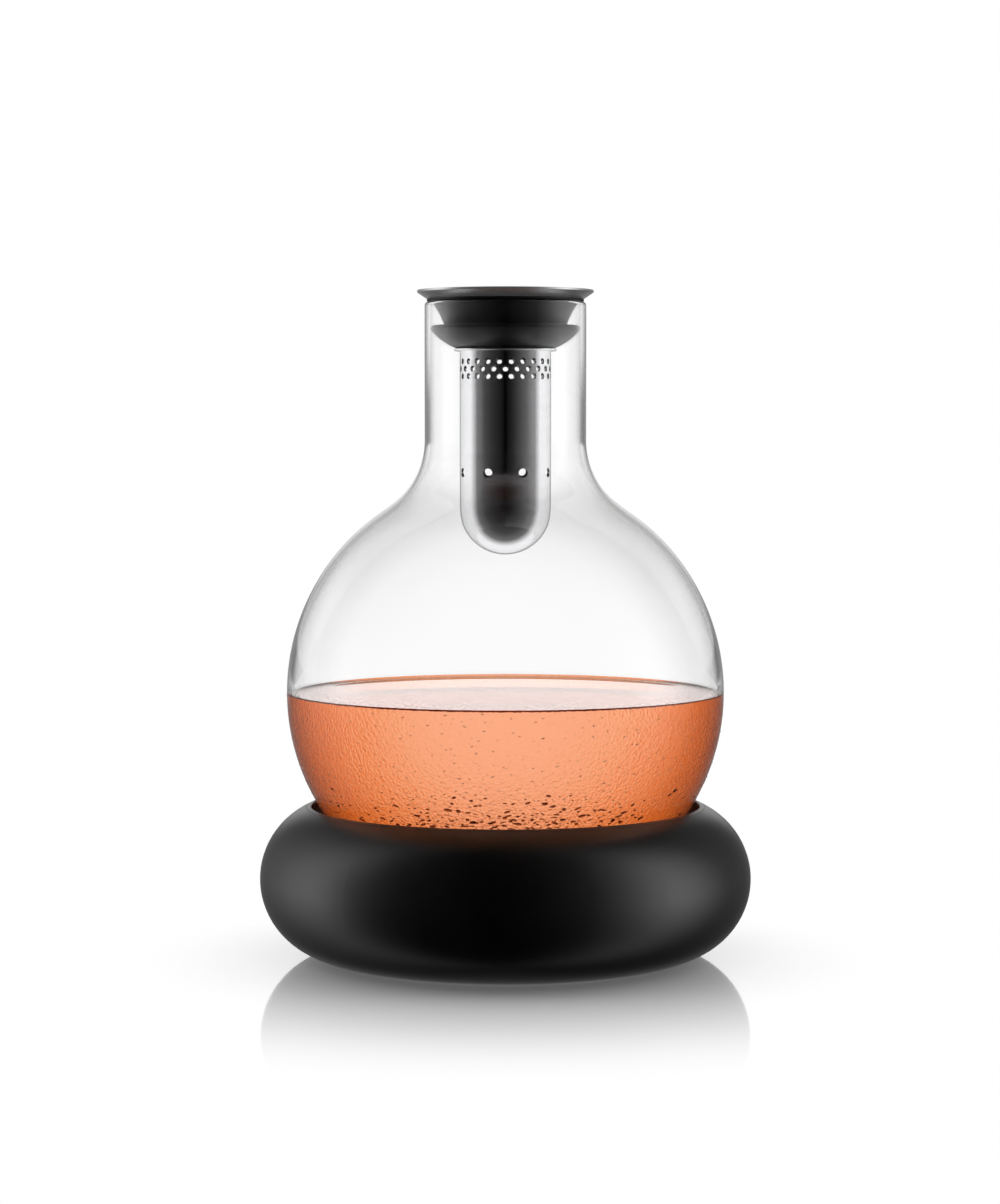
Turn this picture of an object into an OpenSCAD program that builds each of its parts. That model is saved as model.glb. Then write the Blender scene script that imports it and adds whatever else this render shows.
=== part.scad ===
// Round glass carafe with a steel pouring lip and a strainer tube, in a base that holds a freezer pack.
// The origin is on the axis, at the surface that the base stands on. The carafe pours towards -Y.

/* [Glass] */
// Outer radius of the bowl
bowl_r = 73; // [68:0.5:78]
// Radius of the flat that the glass stands on
glass_foot_r = 38; // [34:0.5:42]
// Height of the glass from its foot to its rim
glass_h = 192.3; // [185:0.1:200]
// Outer radius of the neck
neck_r = 26.9; // [25:0.1:29]
// Radius of the hollow curve between neck and bowl
shoulder_r = 26.5; // [22:0.5:30]
// Thickness of the glass wall
glass_wall = 1.8; // [1.5:0.1:2.4]
// Thickness of the glass foot
glass_foot_t = 3.5; // [2.6:0.1:5]
// Rise of the hollow under the foot
punt_h = 1.2; // [0.5:0.1:2]
// Width of the ring that the foot stands on
punt_land = 9; // [5:0.5:14]
// Level of the drink above the foot
fill_h = 62.6; // [30:0.1:64]

/* [Base ring] */
// Radius of the ring's round section
ring_r = 26.1; // [24:0.1:28]
// Slope of the ring's skin where it meets the well, in degrees
mouth_deg = 20; // [14:1:26]
// Gap between the bowl and the mouth of the well
mouth_gap = 2.6; // [1.5:0.1:4]
// Thickness of the shell
shell_wall = 2.5; // [2:0.1:3]
// Radius of the opening under the shell
foot_open_r = 54; // [51:0.5:56]
// Thickness of the floor plate
plate_t = 2.4; // [2:0.1:3]
// Height of the bosses under the well
boss_h = 6.3; // [5:0.1:8]
// Distance of the screws inside the foot ring
screw_inset = 10; // [5:0.5:16]
// Number of screws
screw_count = 4; // [3:1:6]

/* [Well and pack] */
// Thickness of the well's side
well_wall = 1.5; // [1.2:0.1:2]
// Thickness of the well's floor
well_floor_t = 2; // [1.5:0.1:3]
// Height of the freezer pack
pack_h = 30.5; // [28:0.1:33]
// Thickness of the pack under the glass
pack_seat_h = 14.9; // [12:0.1:17]
// Wall thickness of the pack
pack_wall = 1.6; // [1.2:0.1:2]
// Room for the gel to swell under the cover
swell_gap = 2; // [1:0.1:4]

/* [Stopper] */
// Depth of the stopper under its collar
seal_depth = 15.5; // [14:0.1:18]
// Thickness of the collar that rests on the rim
collar_h = 0.8; // [0.6:0.1:1.4]
// Height of the sealing skirt
skirt_h = 7.5; // [6.5:0.1:8.5]
// Depth of the waist behind the skirt's edge
waist_depth = 4.65; // [4:0.05:5.2]
// Radius of the waist's hollow curve
waist_curve_r = 24.8; // [18:0.1:40]
// Radius of the skirt's underside
skirt_curve_r = 20.5; // [16:0.1:30]
// Thickness of the silicone at the waist
seal_wall = 1.45; // [1.2:0.05:1.8]
// Thickness of the core's side
core_wall = 1.8; // [1.5:0.1:2.2]
// Outer radius of the pouring lip
lip_r = 29.4; // [28:0.1:31]
// Thickness of the lip's sheet
lip_t = 0.7; // [0.5:0.05:1]
// Slope of the funnel inside the rim, in degrees
funnel_deg = 10; // [6:1:14]
// Slope of the lip outside the rim, in degrees
flare_deg = 34; // [28:1:40]
// Radius of the bend between the two slopes
bend_r = 2; // [1.5:0.1:3]

/* [Flap] */
// Thickness of the flap
flap_t = 1.6; // [1.2:0.1:2]
// Height of the gasket that shows under the flap
gasket_h = 1; // [0.8:0.1:1.4]
// Radius of the hinge pin
pin_r = 0.8; // [0.6:0.05:1]
// Radius of the weight
weight_r = 2.8; // [2.2:0.1:3]
// Length of the weight
weight_len = 10; // [7:0.5:10.5]
// Drop of the weight under the hinge
weight_drop = 11; // [9:0.1:12]
// Distance of the weight in front of the hinge
weight_reach = 7.4; // [7:0.1:9]

/* [Strainer tube] */
// Distance of the tube's wall inside the stopper's core
tube_inset = 3.7; // [3:0.1:5]
// Length of the tube under its bead
tube_len = 67.7; // [50:0.1:80]
// Thickness of the tube's sheet
tube_t = 0.6; // [0.5:0.05:0.8]
// Number of holes in a row
hole_count = 24; // [16:2:26]
// Radius of the small holes
hole_r = 1; // [0.7:0.05:1.1]
// Number of rows of small holes
row_count = 3; // [1:1:4]
// Distance between the rows
row_pitch = 2.45; // [2.3:0.05:2.8]
// Distance of the first row under the bead
row_drop = 3.5; // [2.5:0.1:5]
// Number of drain holes
drain_count = 8; // [4:2:12]
// Radius of the drain holes
drain_r = 1.6; // [1:0.1:2]
// Distance of the drain holes under the bead
drain_drop = 40.7; // [30:0.1:45]

/* [Hidden] */
$fn = 96;

// Cuts run past a face by this much
over = 1;
// Clearance between curved faces that only lie side by side
slip = 0.1;
// Radial clearance of a pin or a spigot that moves in its bore
run_gap = 0.05;

// Base, from the floor up
shell_lift = 0.35;
plate_lift = 0.8;
plate_gap = 0.15;
ledge_t = 1.8;
ledge_reach = 3.5;
ring_mid_z = shell_lift + ring_r;
mouth_z = ring_mid_z + ring_r * cos(mouth_deg);
plate_top = plate_lift + plate_t;
well_z = plate_top + boss_h;
pack_z = well_z + well_floor_t;
glass_z = pack_z + pack_seat_h;
bowl_z = glass_z + sqrt(bowl_r^2 - glass_foot_r^2);
well_r = sqrt(bowl_r^2 - (bowl_z - mouth_z)^2) + mouth_gap;
ring_mid_r = well_r - ring_r * sin(mouth_deg);

// Foot ring, screws and bosses
foot_ring_w = 5;
foot_ring_h = 1.9;
foot_ring_inset = 3;
foot_bevel = 0.4;
foot_ring_r = foot_open_r - foot_ring_inset;
screw_circle_r = foot_ring_r - foot_ring_w - screw_inset;
boss_r = 4;
boss_floor_t = 0.5;
thread_r = 1.5;
head_r = 2.8;
head_h = 1.5;
head_gap = 0.3;
head_web_t = 1.1;
recess_w = 0.9;
recess_len = 3.4;
recess_depth = 0.8;
screw_reach = 4.9;

// Steps that lock the well in the shell
well_step = 0.7;
step_drop = 7;
sleeve_t = 2;
step_z = mouth_z - step_drop;
well_low_r = well_r - well_step;
sleeve_r = well_r + well_wall + slip;
step_ledge_r = well_low_r + well_wall + slip;
rim_bevel = 0.45;

// Freezer pack
pack_gap = 0.5;
dish_gap = 0.4;
tray_drop = 2.1;
tongue_h = 2.4;
tongue_t = 1.4;
gel_drop = 5;
pack_r = well_low_r - pack_gap;
pack_top = pack_z + pack_h;
tray_top = pack_top - tray_drop;
dish_r = bowl_r + dish_gap;
tray_in_r = pack_r - pack_wall;
tongue_r = tray_in_r - run_gap;
gel_r = tray_in_r - slip;
gel_top = tray_top - gel_drop;
plug_circle_r = 24;
plug_r = 4;
plug_head_r = 6;
plug_head_t = 1;
plug_boss_r = 8;
plug_boss_h = 4.1;

// Glass
shoulder_mid_r = neck_r + shoulder_r;
shoulder_z = bowl_z + sqrt((bowl_r + shoulder_r)^2 - shoulder_mid_r^2);
rim_z = glass_z + glass_h;
rim_round = glass_wall / 2;
punt_r = glass_foot_r - punt_land;
punt_curve_r = (punt_r^2 + punt_h^2) / (2 * punt_h);
drink_z = glass_z + fill_h;

// Stopper, from the rim down
rim_gap = 0.2;
skirt_gap = 0.1;
collar_inset = 0.75;
skirt_tip_r = 1.3;
neck_edge_gap = 0.3;
collar_z = rim_z + rim_gap;
lip_seat_z = collar_z + collar_h;
stopper_z = collar_z - seal_depth;
skirt_r = neck_r - glass_wall - skirt_gap;
collar_r = neck_r - collar_inset;
waist_r = skirt_r - waist_depth;
waist_top_r = skirt_r - neck_edge_gap;
core_r = waist_r - seal_wall;
cavity_r = core_r - core_wall;
lip_spigot_r = cavity_r + lip_t;
core_shoulder_h = 5.6;
core_floor_t = 1.6;
seat_h = 1;
lip_spigot_lift = 2.4;
core_shoulder_z = stopper_z + core_shoulder_h;
cavity_z = core_shoulder_z + core_floor_t;
seat_z = cavity_z + seat_h;
lip_spigot_z = cavity_z + lip_spigot_lift;
bend_mid = [collar_r, lip_seat_z] + bend_r * [-sin(flare_deg), cos(flare_deg)];
lip_top_z = lip_seat_z + (lip_r - collar_r) * tan(flare_deg) + lip_t / cos(flare_deg);

// Flap and its hinge
hinge_inset = 3.1;
knuckle_r = 1.6;
knuckle_w = 7.4;
post_t = 1.8;
post_gap = 0.2;
flap_inset = 1.1;
gasket_inset = 0.6;
gasket_w = 1.5;
gasket_sink = 0.4;
seat_inset = 0.1;
seat_w = 1.2;
flap_bevel = 0.5;
web_t = 2.4;
web_w = 4;
clip_t = 1.2;
hinge_y = cavity_r - hinge_inset;
flap_r = hinge_y - flap_inset;
gasket_r = flap_r - gasket_inset;
seat_r = gasket_r - seat_inset;
throat_r = seat_r - seat_w;
flap_z = seat_z + gasket_h;
hinge_z = flap_z + flap_t / 2;
weight_y = hinge_y - weight_reach;
weight_z = hinge_z - weight_drop;
pin_len = knuckle_w + 2 * (post_gap + post_t);

// Strainer tube and its seat in the core
spigot_step = 1.6;
spigot_h = 4.8;
bore_gap = 0.3;
bore_depth = 5.1;
core_low_wall = 2.1;
seal_low_wall = 0.5;
bead_step = 1.9;
bead_t = 1;
o_ring_r = 0.6;
o_ring_h = 2.6;
groove_h = 1.3;
tube_r = core_r - tube_inset;
spigot_r = tube_r - spigot_step;
bore_r = spigot_r + bore_gap;
core_low_r = bore_r + core_low_wall;
seal_low_r = core_low_r + seal_low_wall;
bead_r = tube_r + bead_step;
bead_z = stopper_z - bead_t;
dome_z = bead_z - tube_len + tube_r;
o_ring_mid_r = spigot_r + run_gap + o_ring_r;
o_ring_z = stopper_z + o_ring_h;

// Centre of the circle of radius r through points a and b, on the left of the way from a to b
function arc_mid(a, b, r) =
    let (way = b - a, half = norm(way) / 2, rise = sqrt(r^2 - half^2))
    (a + b) / 2 + rise * [-way.y, way.x] / norm(way);

// Rectangle from corner to corner
module box_2d(low, high) {
    translate(low) square(high - low);
}

// Copies around the axis
module around(count, turn = 0) {
    for (i = [0 : count - 1]) rotate(i * 360 / count + turn) children();
}

// Rod along X, centred on the point
module cross_rod(point, radius, length) {
    translate(point) rotate([0, 90, 0]) cylinder(r = radius, h = length, center = true);
}

// Glass

// Half section of the space inside a skin that lies this far within the outer glass
module bottle_2d(inset, low, high) {
    intersection() {
        translate([0, bowl_z]) circle(bowl_r - inset);
        box_2d([0, low], [bowl_r, bowl_z + bowl_r]);
    }
    box_2d([0, bowl_z], [neck_r - inset, high]);
    difference() {
        polygon([[0, bowl_z], [shoulder_mid_r, shoulder_z], [0, shoulder_z]]);
        translate([shoulder_mid_r, shoulder_z]) circle(shoulder_r + inset);
    }
}

module carafe_glass() {
    color([0.93, 0.95, 0.95, 0.35]) rotate_extrude() {
        difference() {
            bottle_2d(0, glass_z, rim_z - rim_round);
            bottle_2d(glass_wall, glass_z + glass_foot_t, rim_z + over);
            intersection() {
                translate([0, glass_z + punt_h - punt_curve_r]) circle(punt_curve_r);
                box_2d([0, glass_z - over], [punt_r + over, bowl_z]);
            }
        }
        translate([neck_r - rim_round, rim_z - rim_round]) circle(rim_round);
    }
}

module drink() {
    color([0.95, 0.55, 0.4, 0.8]) rotate_extrude() intersection() {
        translate([0, bowl_z]) circle(bowl_r - glass_wall - slip);
        box_2d([0, glass_z + glass_foot_t + slip], [bowl_r, drink_z]);
    }
}

// Stopper

// Half section of the space over the lip's underside, or over its upper side where inset is its sheet.
// The spigot under the funnel is open down to the height low.
module funnel_2d(inset, low) {
    reach = bend_r - inset;
    edge_r = lip_r + over;
    inner = bend_mid + reach * [sin(funnel_deg), -cos(funnel_deg)];
    outer = bend_mid + reach * [sin(flare_deg), -cos(flare_deg)];
    translate(bend_mid) circle(reach);
    polygon([
        [0, inner.y - inner.x * tan(funnel_deg)], inner, outer,
        [edge_r, outer.y + (edge_r - outer.x) * tan(flare_deg)],
        [edge_r, lip_top_z + over], [0, lip_top_z + over],
    ]);
    box_2d([0, low], [lip_spigot_r - inset, lip_top_z]);
}

module pour_lip() {
    color("silver") rotate_extrude() intersection() {
        difference() {
            funnel_2d(0, lip_spigot_z);
            funnel_2d(lip_t, lip_spigot_z - over);
        }
        box_2d([0, lip_spigot_z], [lip_r, lip_top_z]);
    }
}

module stopper_seal() {
    skirt_z = stopper_z + skirt_h;
    tip_z = skirt_z - skirt_tip_r;
    waist_mid = arc_mid([waist_top_r, collar_z], [waist_r, skirt_z], waist_curve_r);
    skirt_mid = arc_mid([seal_low_r, stopper_z], [skirt_r, tip_z], skirt_curve_r);
    color([0.08, 0.08, 0.09]) rotate_extrude() difference() {
        union() {
            difference() {
                box_2d([0, skirt_z - skirt_tip_r], [waist_top_r, collar_z]);
                translate(waist_mid) circle(waist_curve_r);
            }
            box_2d([0, collar_z], [collar_r, lip_seat_z]);
            intersection() {
                translate(skirt_mid) circle(skirt_curve_r);
                union() {
                    box_2d([0, stopper_z], [skirt_r, tip_z]);
                    box_2d([0, stopper_z], [skirt_r - skirt_tip_r, skirt_z]);
                    translate([skirt_r - skirt_tip_r, tip_z]) circle(skirt_tip_r);
                }
            }
        }
        box_2d([0, stopper_z - over], [core_low_r, core_shoulder_z]);
        box_2d([0, core_shoulder_z], [core_r, lip_seat_z + over]);
        funnel_2d(-run_gap, lip_spigot_z);
    }
}

module stopper_core() {
    groove_r = o_ring_mid_r + o_ring_r + run_gap;
    post_x = knuckle_w / 2 + post_gap;
    color([0.1, 0.1, 0.11]) difference() {
        union() {
            rotate_extrude() difference() {
                union() {
                    box_2d([0, stopper_z], [core_low_r, core_shoulder_z]);
                    box_2d([0, core_shoulder_z], [core_r, lip_seat_z]);
                }
                funnel_2d(-run_gap, lip_spigot_z);
                box_2d([0, cavity_z], [cavity_r, lip_seat_z]);
                box_2d([0, stopper_z - over], [throat_r, lip_seat_z]);
                box_2d([0, stopper_z - over], [bore_r, stopper_z + bore_depth]);
                box_2d([0, o_ring_z - groove_h / 2], [groove_r, o_ring_z + groove_h / 2]);
            }
            rotate_extrude() box_2d([throat_r, cavity_z - core_floor_t / 2], [seat_r, seat_z]);
            for (side = [-1, 1]) {
                post_mid = side * (post_x + post_t / 2);
                cross_rod([post_mid, hinge_y, hinge_z], knuckle_r, post_t);
                translate([post_mid - post_t / 2, hinge_y - knuckle_r, cavity_z - core_floor_t / 2])
                    cube([post_t, 2 * knuckle_r, hinge_z - cavity_z + core_floor_t / 2]);
            }
        }
        cross_rod([0, hinge_y, hinge_z], pin_r + run_gap / 2, pin_len + over);
    }
}

module strainer_seal() {
    color([0.15, 0.15, 0.16]) rotate_extrude() translate([o_ring_mid_r, o_ring_z]) circle(o_ring_r);
}

// Flap

module pour_flap() {
    clip_r = weight_r + clip_t;
    groove_in_r = gasket_r - gasket_w - run_gap;
    color([0.12, 0.12, 0.13]) difference() {
        union() {
            rotate_extrude() polygon([
                [0, flap_z], [flap_r, flap_z], [flap_r, flap_z + flap_t - flap_bevel],
                [flap_r - flap_bevel, flap_z + flap_t], [0, flap_z + flap_t],
            ]);
            translate([-knuckle_w / 2, hinge_y - 2 * knuckle_r, flap_z])
                cube([knuckle_w, 2 * knuckle_r, flap_t]);
            cross_rod([0, hinge_y, hinge_z], knuckle_r, knuckle_w);
            translate([-web_t / 2, weight_y - web_w / 2, weight_z])
                cube([web_t, web_w, flap_z + flap_t / 2 - weight_z]);
            cross_rod([0, weight_y, weight_z], clip_r, web_t);
        }
        rotate_extrude() box_2d([groove_in_r, flap_z - over], [gasket_r + run_gap, flap_z + gasket_sink]);
        cross_rod([0, hinge_y, hinge_z], pin_r + run_gap, knuckle_w + over);
        cross_rod([0, weight_y, weight_z], weight_r + run_gap / 2, web_t + over);
    }
}

module flap_gasket() {
    color([0.2, 0.2, 0.21]) rotate_extrude()
        box_2d([gasket_r - gasket_w, seat_z], [gasket_r, flap_z + gasket_sink]);
}

module flap_weight() {
    color("silver") cross_rod([0, weight_y, weight_z], weight_r, weight_len);
}

module flap_pin() {
    color("silver") cross_rod([0, hinge_y, hinge_z], pin_r, pin_len);
}

// Strainer tube

// Half section of the tube's outside, or of its inside where inset is its sheet
module tube_2d(inset, top) {
    intersection() {
        translate([0, dome_z]) circle(tube_r - inset);
        box_2d([0, dome_z - tube_r], [tube_r, dome_z]);
    }
    box_2d([0, dome_z], [tube_r - inset, stopper_z - inset]);
    box_2d([0, dome_z], [spigot_r - inset, top]);
}

// Cutter for one hole in the side that faces -Y
module wall_hole(radius, height) {
    translate([0, over - tube_r + tube_t, height]) rotate([90, 0, 0])
        cylinder(r = radius, h = tube_t + 2 * over);
}

module strainer_tube() {
    color("silver") difference() {
        rotate_extrude() difference() {
            union() {
                tube_2d(0, stopper_z + spigot_h);
                box_2d([0, bead_z], [bead_r - bead_t / 2, stopper_z]);
                translate([bead_r - bead_t / 2, bead_z + bead_t / 2]) circle(bead_t / 2);
            }
            tube_2d(tube_t, stopper_z + spigot_h + over);
        }
        for (row = [0 : row_count - 1])
            around(hole_count, (row % 2 == 0 ? 0.5 : 0) * 360 / hole_count)
                wall_hole(hole_r, bead_z - row_drop - row * row_pitch);
        around(drain_count, 180 / drain_count) wall_hole(drain_r, bead_z - drain_drop);
    }
}

// Base

// Round section of the ring, drawn in by the inset
module ring_2d(inset = 0) {
    translate([ring_mid_r, ring_mid_z]) circle(ring_r - inset);
}

module base_shell() {
    color([0.06, 0.06, 0.06]) rotate_extrude() intersection() {
        ring_2d();
        union() {
            difference() {
                ring_2d();
                ring_2d(shell_wall);
                box_2d([0, 0], [foot_open_r, mouth_z + ring_r]);
                box_2d([0, ring_mid_z], [sleeve_r, mouth_z + ring_r]);
            }
            box_2d([sleeve_r, step_z], [sleeve_r + sleeve_t, mouth_z]);
            box_2d([step_ledge_r, step_z - sleeve_t], [sleeve_r + sleeve_t, step_z]);
            box_2d([foot_open_r, shell_lift], [foot_open_r + shell_wall, plate_top + ledge_t]);
            box_2d([foot_open_r - ledge_reach, plate_top], [foot_open_r + shell_wall, plate_top + ledge_t]);
        }
    }
}

// Half section of the well's cup, grown by a gap
module well_2d(gap = 0) {
    box_2d([0, well_z - gap], [well_low_r + well_wall + gap, step_z + well_wall]);
    box_2d([0, step_z - gap], [well_r + well_wall + gap, mouth_z + over]);
}

module base_well() {
    color([0.09, 0.09, 0.09]) {
        rotate_extrude() difference() {
            intersection() {
                well_2d();
                union() {
                    ring_2d();
                    box_2d([0, 0], [ring_mid_r, mouth_z - over]);
                }
            }
            box_2d([0, pack_z], [well_low_r, mouth_z + over]);
            box_2d([0, step_z], [well_r, mouth_z + over]);
            polygon([
                [well_r - rim_bevel, mouth_z + rim_bevel], [well_r - rim_bevel, mouth_z - 2 * rim_bevel],
                [well_r, mouth_z - rim_bevel], [well_r + 2 * rim_bevel, mouth_z + rim_bevel],
            ]);
        }
        around(screw_count, 45) translate([screw_circle_r, 0, plate_top]) difference() {
            cylinder(r = boss_r, h = boss_h);
            translate([0, 0, -over]) cylinder(r = thread_r + run_gap, h = boss_h - boss_floor_t + over);
        }
    }
}

module base_insulation() {
    color([0.85, 0.85, 0.82]) difference() {
        rotate_extrude() difference() {
            union() {
                ring_2d(shell_wall + slip);
                box_2d([0, plate_top + slip], [ring_mid_r, well_z]);
            }
            well_2d(slip);
            box_2d([0, 0], [foot_open_r + shell_wall + slip, plate_top + slip]);
            box_2d(
                [foot_open_r - ledge_reach - slip, 0],
                [foot_open_r + shell_wall + slip, plate_top + ledge_t + slip]
            );
            box_2d([step_ledge_r - slip, step_z - sleeve_t - slip], [sleeve_r + sleeve_t + slip, mouth_z]);
        }
        around(screw_count, 45) translate([screw_circle_r, 0, 0]) cylinder(r = boss_r + slip, h = well_z);
    }
}

module base_floor() {
    color([0.08, 0.08, 0.08]) difference() {
        translate([0, 0, plate_lift]) cylinder(r = foot_open_r - plate_gap, h = plate_t);
        rotate_extrude() box_2d(
            [foot_ring_r - foot_ring_w - run_gap, 0],
            [foot_ring_r + run_gap, foot_ring_h]
        );
        around(screw_count, 45) translate([screw_circle_r, 0, 0]) {
            cylinder(r = thread_r + slip, h = plate_top + over);
            cylinder(r = head_r + head_gap, h = plate_top - head_web_t);
        }
    }
}

module floor_screws() {
    head_z = plate_top - head_web_t;
    color("silver") around(screw_count, 45) translate([screw_circle_r, 0, 0]) difference() {
        union() {
            translate([0, 0, head_z - head_h]) cylinder(r = head_r, h = head_h);
            translate([0, 0, head_z]) cylinder(r = thread_r, h = head_web_t + screw_reach);
        }
        for (turn = [0, 90]) rotate(turn)
            translate([-recess_len / 2, -recess_w / 2, head_z - head_h - over])
                cube([recess_len, recess_w, recess_depth + over]);
    }
}

module foot_ring() {
    in_r = foot_ring_r - foot_ring_w;
    color([0.15, 0.15, 0.15]) rotate_extrude() polygon([
        [in_r, foot_bevel], [in_r + foot_bevel, 0], [foot_ring_r - foot_bevel, 0],
        [foot_ring_r, foot_bevel], [foot_ring_r, foot_ring_h], [in_r, foot_ring_h],
    ]);
}

// Freezer pack

// Space that the glass and the air over it take from the pack, grown by the depth
module dish_2d(depth, top) {
    intersection() {
        translate([0, bowl_z]) circle(dish_r + depth);
        box_2d([0, glass_z - depth], [pack_r, top]);
    }
}

module pack_tray() {
    color([0.16, 0.17, 0.19]) difference() {
        union() {
            rotate_extrude() difference() {
                box_2d([0, pack_z], [pack_r, tray_top]);
                box_2d([0, pack_z + pack_wall], [tray_in_r, tray_top + over]);
            }
            translate([0, plug_circle_r, pack_z]) cylinder(r = plug_boss_r, h = plug_boss_h);
        }
        translate([0, plug_circle_r, pack_z - over]) {
            cylinder(r = plug_r + run_gap, h = plug_boss_h + 2 * over);
            cylinder(r = plug_head_r + run_gap, h = plug_head_t + over + slip);
        }
    }
}

module pack_plug() {
    color([0.2, 0.25, 0.3]) translate([0, plug_circle_r, pack_z + slip]) {
        cylinder(r = plug_head_r, h = plug_head_t);
        cylinder(r = plug_r, h = plug_boss_h - slip);
    }
}

module pack_cover() {
    color([0.13, 0.14, 0.16]) rotate_extrude() difference() {
        union() {
            dish_2d(pack_wall, pack_top);
            box_2d([0, pack_top - pack_wall], [pack_r, pack_top]);
            box_2d([tongue_r - tongue_t, tray_top], [pack_r, pack_top]);
            box_2d([tongue_r - tongue_t, tray_top - tongue_h], [tongue_r, pack_top]);
        }
        dish_2d(0, pack_top + over);
    }
}

module pack_gel() {
    color([0.5, 0.7, 0.9]) difference() {
        rotate_extrude() difference() {
            box_2d([0, pack_z + pack_wall], [gel_r, gel_top]);
            dish_2d(pack_wall + swell_gap, pack_top);
        }
        translate([0, plug_circle_r, pack_z]) cylinder(r = plug_boss_r + slip, h = plug_boss_h + slip);
    }
}

carafe_glass();
drink();
pour_lip();
stopper_seal();
stopper_core();
strainer_seal();
pour_flap();
flap_gasket();
flap_weight();
flap_pin();
strainer_tube();
base_shell();
base_well();
base_insulation();
base_floor();
floor_screws();
foot_ring();
pack_tray();
pack_cover();
pack_gel();
pack_plug();
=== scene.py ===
"""Dresses the round glass carafe, its stopper and strainer tube, and the ring base with its freezer pack."""

import functools
import logging
import math
from dataclasses import dataclass, field
from enum import Enum
from typing import Callable, ClassVar, Mapping, Optional, Sequence

import bmesh
import bpy
from mathutils import Matrix, Vector


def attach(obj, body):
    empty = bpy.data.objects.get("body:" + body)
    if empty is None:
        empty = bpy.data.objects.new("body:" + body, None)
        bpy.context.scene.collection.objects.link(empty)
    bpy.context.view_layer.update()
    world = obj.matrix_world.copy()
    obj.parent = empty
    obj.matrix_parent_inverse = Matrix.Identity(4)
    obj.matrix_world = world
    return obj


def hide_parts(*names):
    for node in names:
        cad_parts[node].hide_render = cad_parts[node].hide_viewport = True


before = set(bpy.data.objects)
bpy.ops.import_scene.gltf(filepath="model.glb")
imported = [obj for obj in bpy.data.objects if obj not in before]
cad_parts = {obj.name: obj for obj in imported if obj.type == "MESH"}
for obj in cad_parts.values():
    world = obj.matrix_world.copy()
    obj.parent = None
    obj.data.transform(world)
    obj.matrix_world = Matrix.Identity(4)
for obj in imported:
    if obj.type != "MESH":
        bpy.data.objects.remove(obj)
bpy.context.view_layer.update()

logging.basicConfig(level=logging.INFO, format="%(name)s: %(message)s")
LOG = logging.getLogger("carafe")

MM = 0.001
FULL_TURN = 2 * math.pi
ON_AXIS = 1e-6
MERGE_WITHIN = 2e-6
WHITE = (1.0, 1.0, 1.0, 1.0)
WATER_IOR = 1.33
GLASS_IOR = 1.5
GLASS_GAIN = 1.08
Point = tuple[float, float]
Colour = tuple[float, float, float]
Stops = Sequence[tuple[float, object]]
Piece = bpy.types.Object
Socket = bpy.types.NodeSocket


class Body(Enum):
    """The bodies that carry pieces of the visual model."""

    CARAFE = "carafe"
    STOPPER = "stopper"
    STRAINER = "strainer"


# Profiles, in millimetres as radius and height


def arc(centre: Point, radius: float, start: float, end: float, step: float = 2.5) -> list[Point]:
    """Points along a circle's arc.

    Args:
        centre: The circle's centre.
        radius: The circle's radius.
        start: The first angle, in degrees from the outward direction.
        end: The last angle, in degrees.
        step: The largest angle between two points, in degrees.

    Returns:
        The points from start to end, both ends included.
    """
    count = max(2, math.ceil(abs(end - start) / step))
    turns = [math.radians(start + (end - start) * i / count) for i in range(count + 1)]
    return [(centre[0] + radius * math.cos(t), centre[1] + radius * math.sin(t)) for t in turns]


def angle_to(centre: Point, target: Point) -> float:
    """Direction from the centre to the target, in degrees."""
    return math.degrees(math.atan2(target[1] - centre[1], target[0] - centre[0]))


def bow(a: Point, b: Point, radius: float) -> list[Point]:
    """Arc from a to b whose centre lies on the left of the way.

    Args:
        a: The first point.
        b: The last point.
        radius: The arc's radius.

    Returns:
        The arc's points.
    """
    way = Vector(b) - Vector(a)
    rise = math.sqrt(radius**2 - (way.length / 2) ** 2)
    centre = (Vector(a) + Vector(b)) / 2 + rise * Vector((-way.y, way.x)) / way.length
    return arc(centre, radius, angle_to(centre, a) % 360, angle_to(centre, b) % 360, 1.5)


def walk(path: Sequence[Point], start: int, step: int, distance: float) -> tuple[Point, int]:
    """Follows a path from one of its points.

    Args:
        path: The path's points.
        start: The index of the first point.
        step: 1 to go forwards and -1 to go back.
        distance: How far to go along the path.

    Returns:
        The place that is reached and the index of the next point beyond it.
    """
    here, i = Vector(path[start]), start
    while 0 <= i + step < len(path):
        ahead = Vector(path[i + step])
        length = (ahead - here).length
        if length > distance:
            here = here + (ahead - here) * distance / length
            return (here.x, here.y), i + step
        distance -= length
        here, i = ahead, i + step
    return (here.x, here.y), i + step


def weighed(weights: Sequence[float], points: Sequence[Point]) -> Point:
    """Sum of the points, each times its weight."""
    return tuple(sum(w * p[axis] for w, p in zip(weights, points)) for axis in (0, 1))


def soften(path: Sequence[Point], corners: Mapping[Point, float], steps: int = 6) -> list[Point]:
    """Rounds chosen corners of a path.

    Args:
        path: The path's points.
        corners: For each corner, how far along the path its rounding reaches.
        steps: The number of pieces in each rounding.

    Returns:
        The path with the corners rounded.
    """
    made = list(path)
    for corner, reach in corners.items():
        at = min(range(len(made)), key=lambda i: math.dist(made[i], corner))
        before, first = walk(made, at, -1, reach)
        after, last = walk(made, at, 1, reach)
        shares = [i / steps for i in range(steps + 1)]
        ends = (before, made[at], after)
        made[first + 1 : last] = [weighed(((1 - t) ** 2, 2 * t * (1 - t), t**2), ends) for t in shares]
    return made


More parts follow.
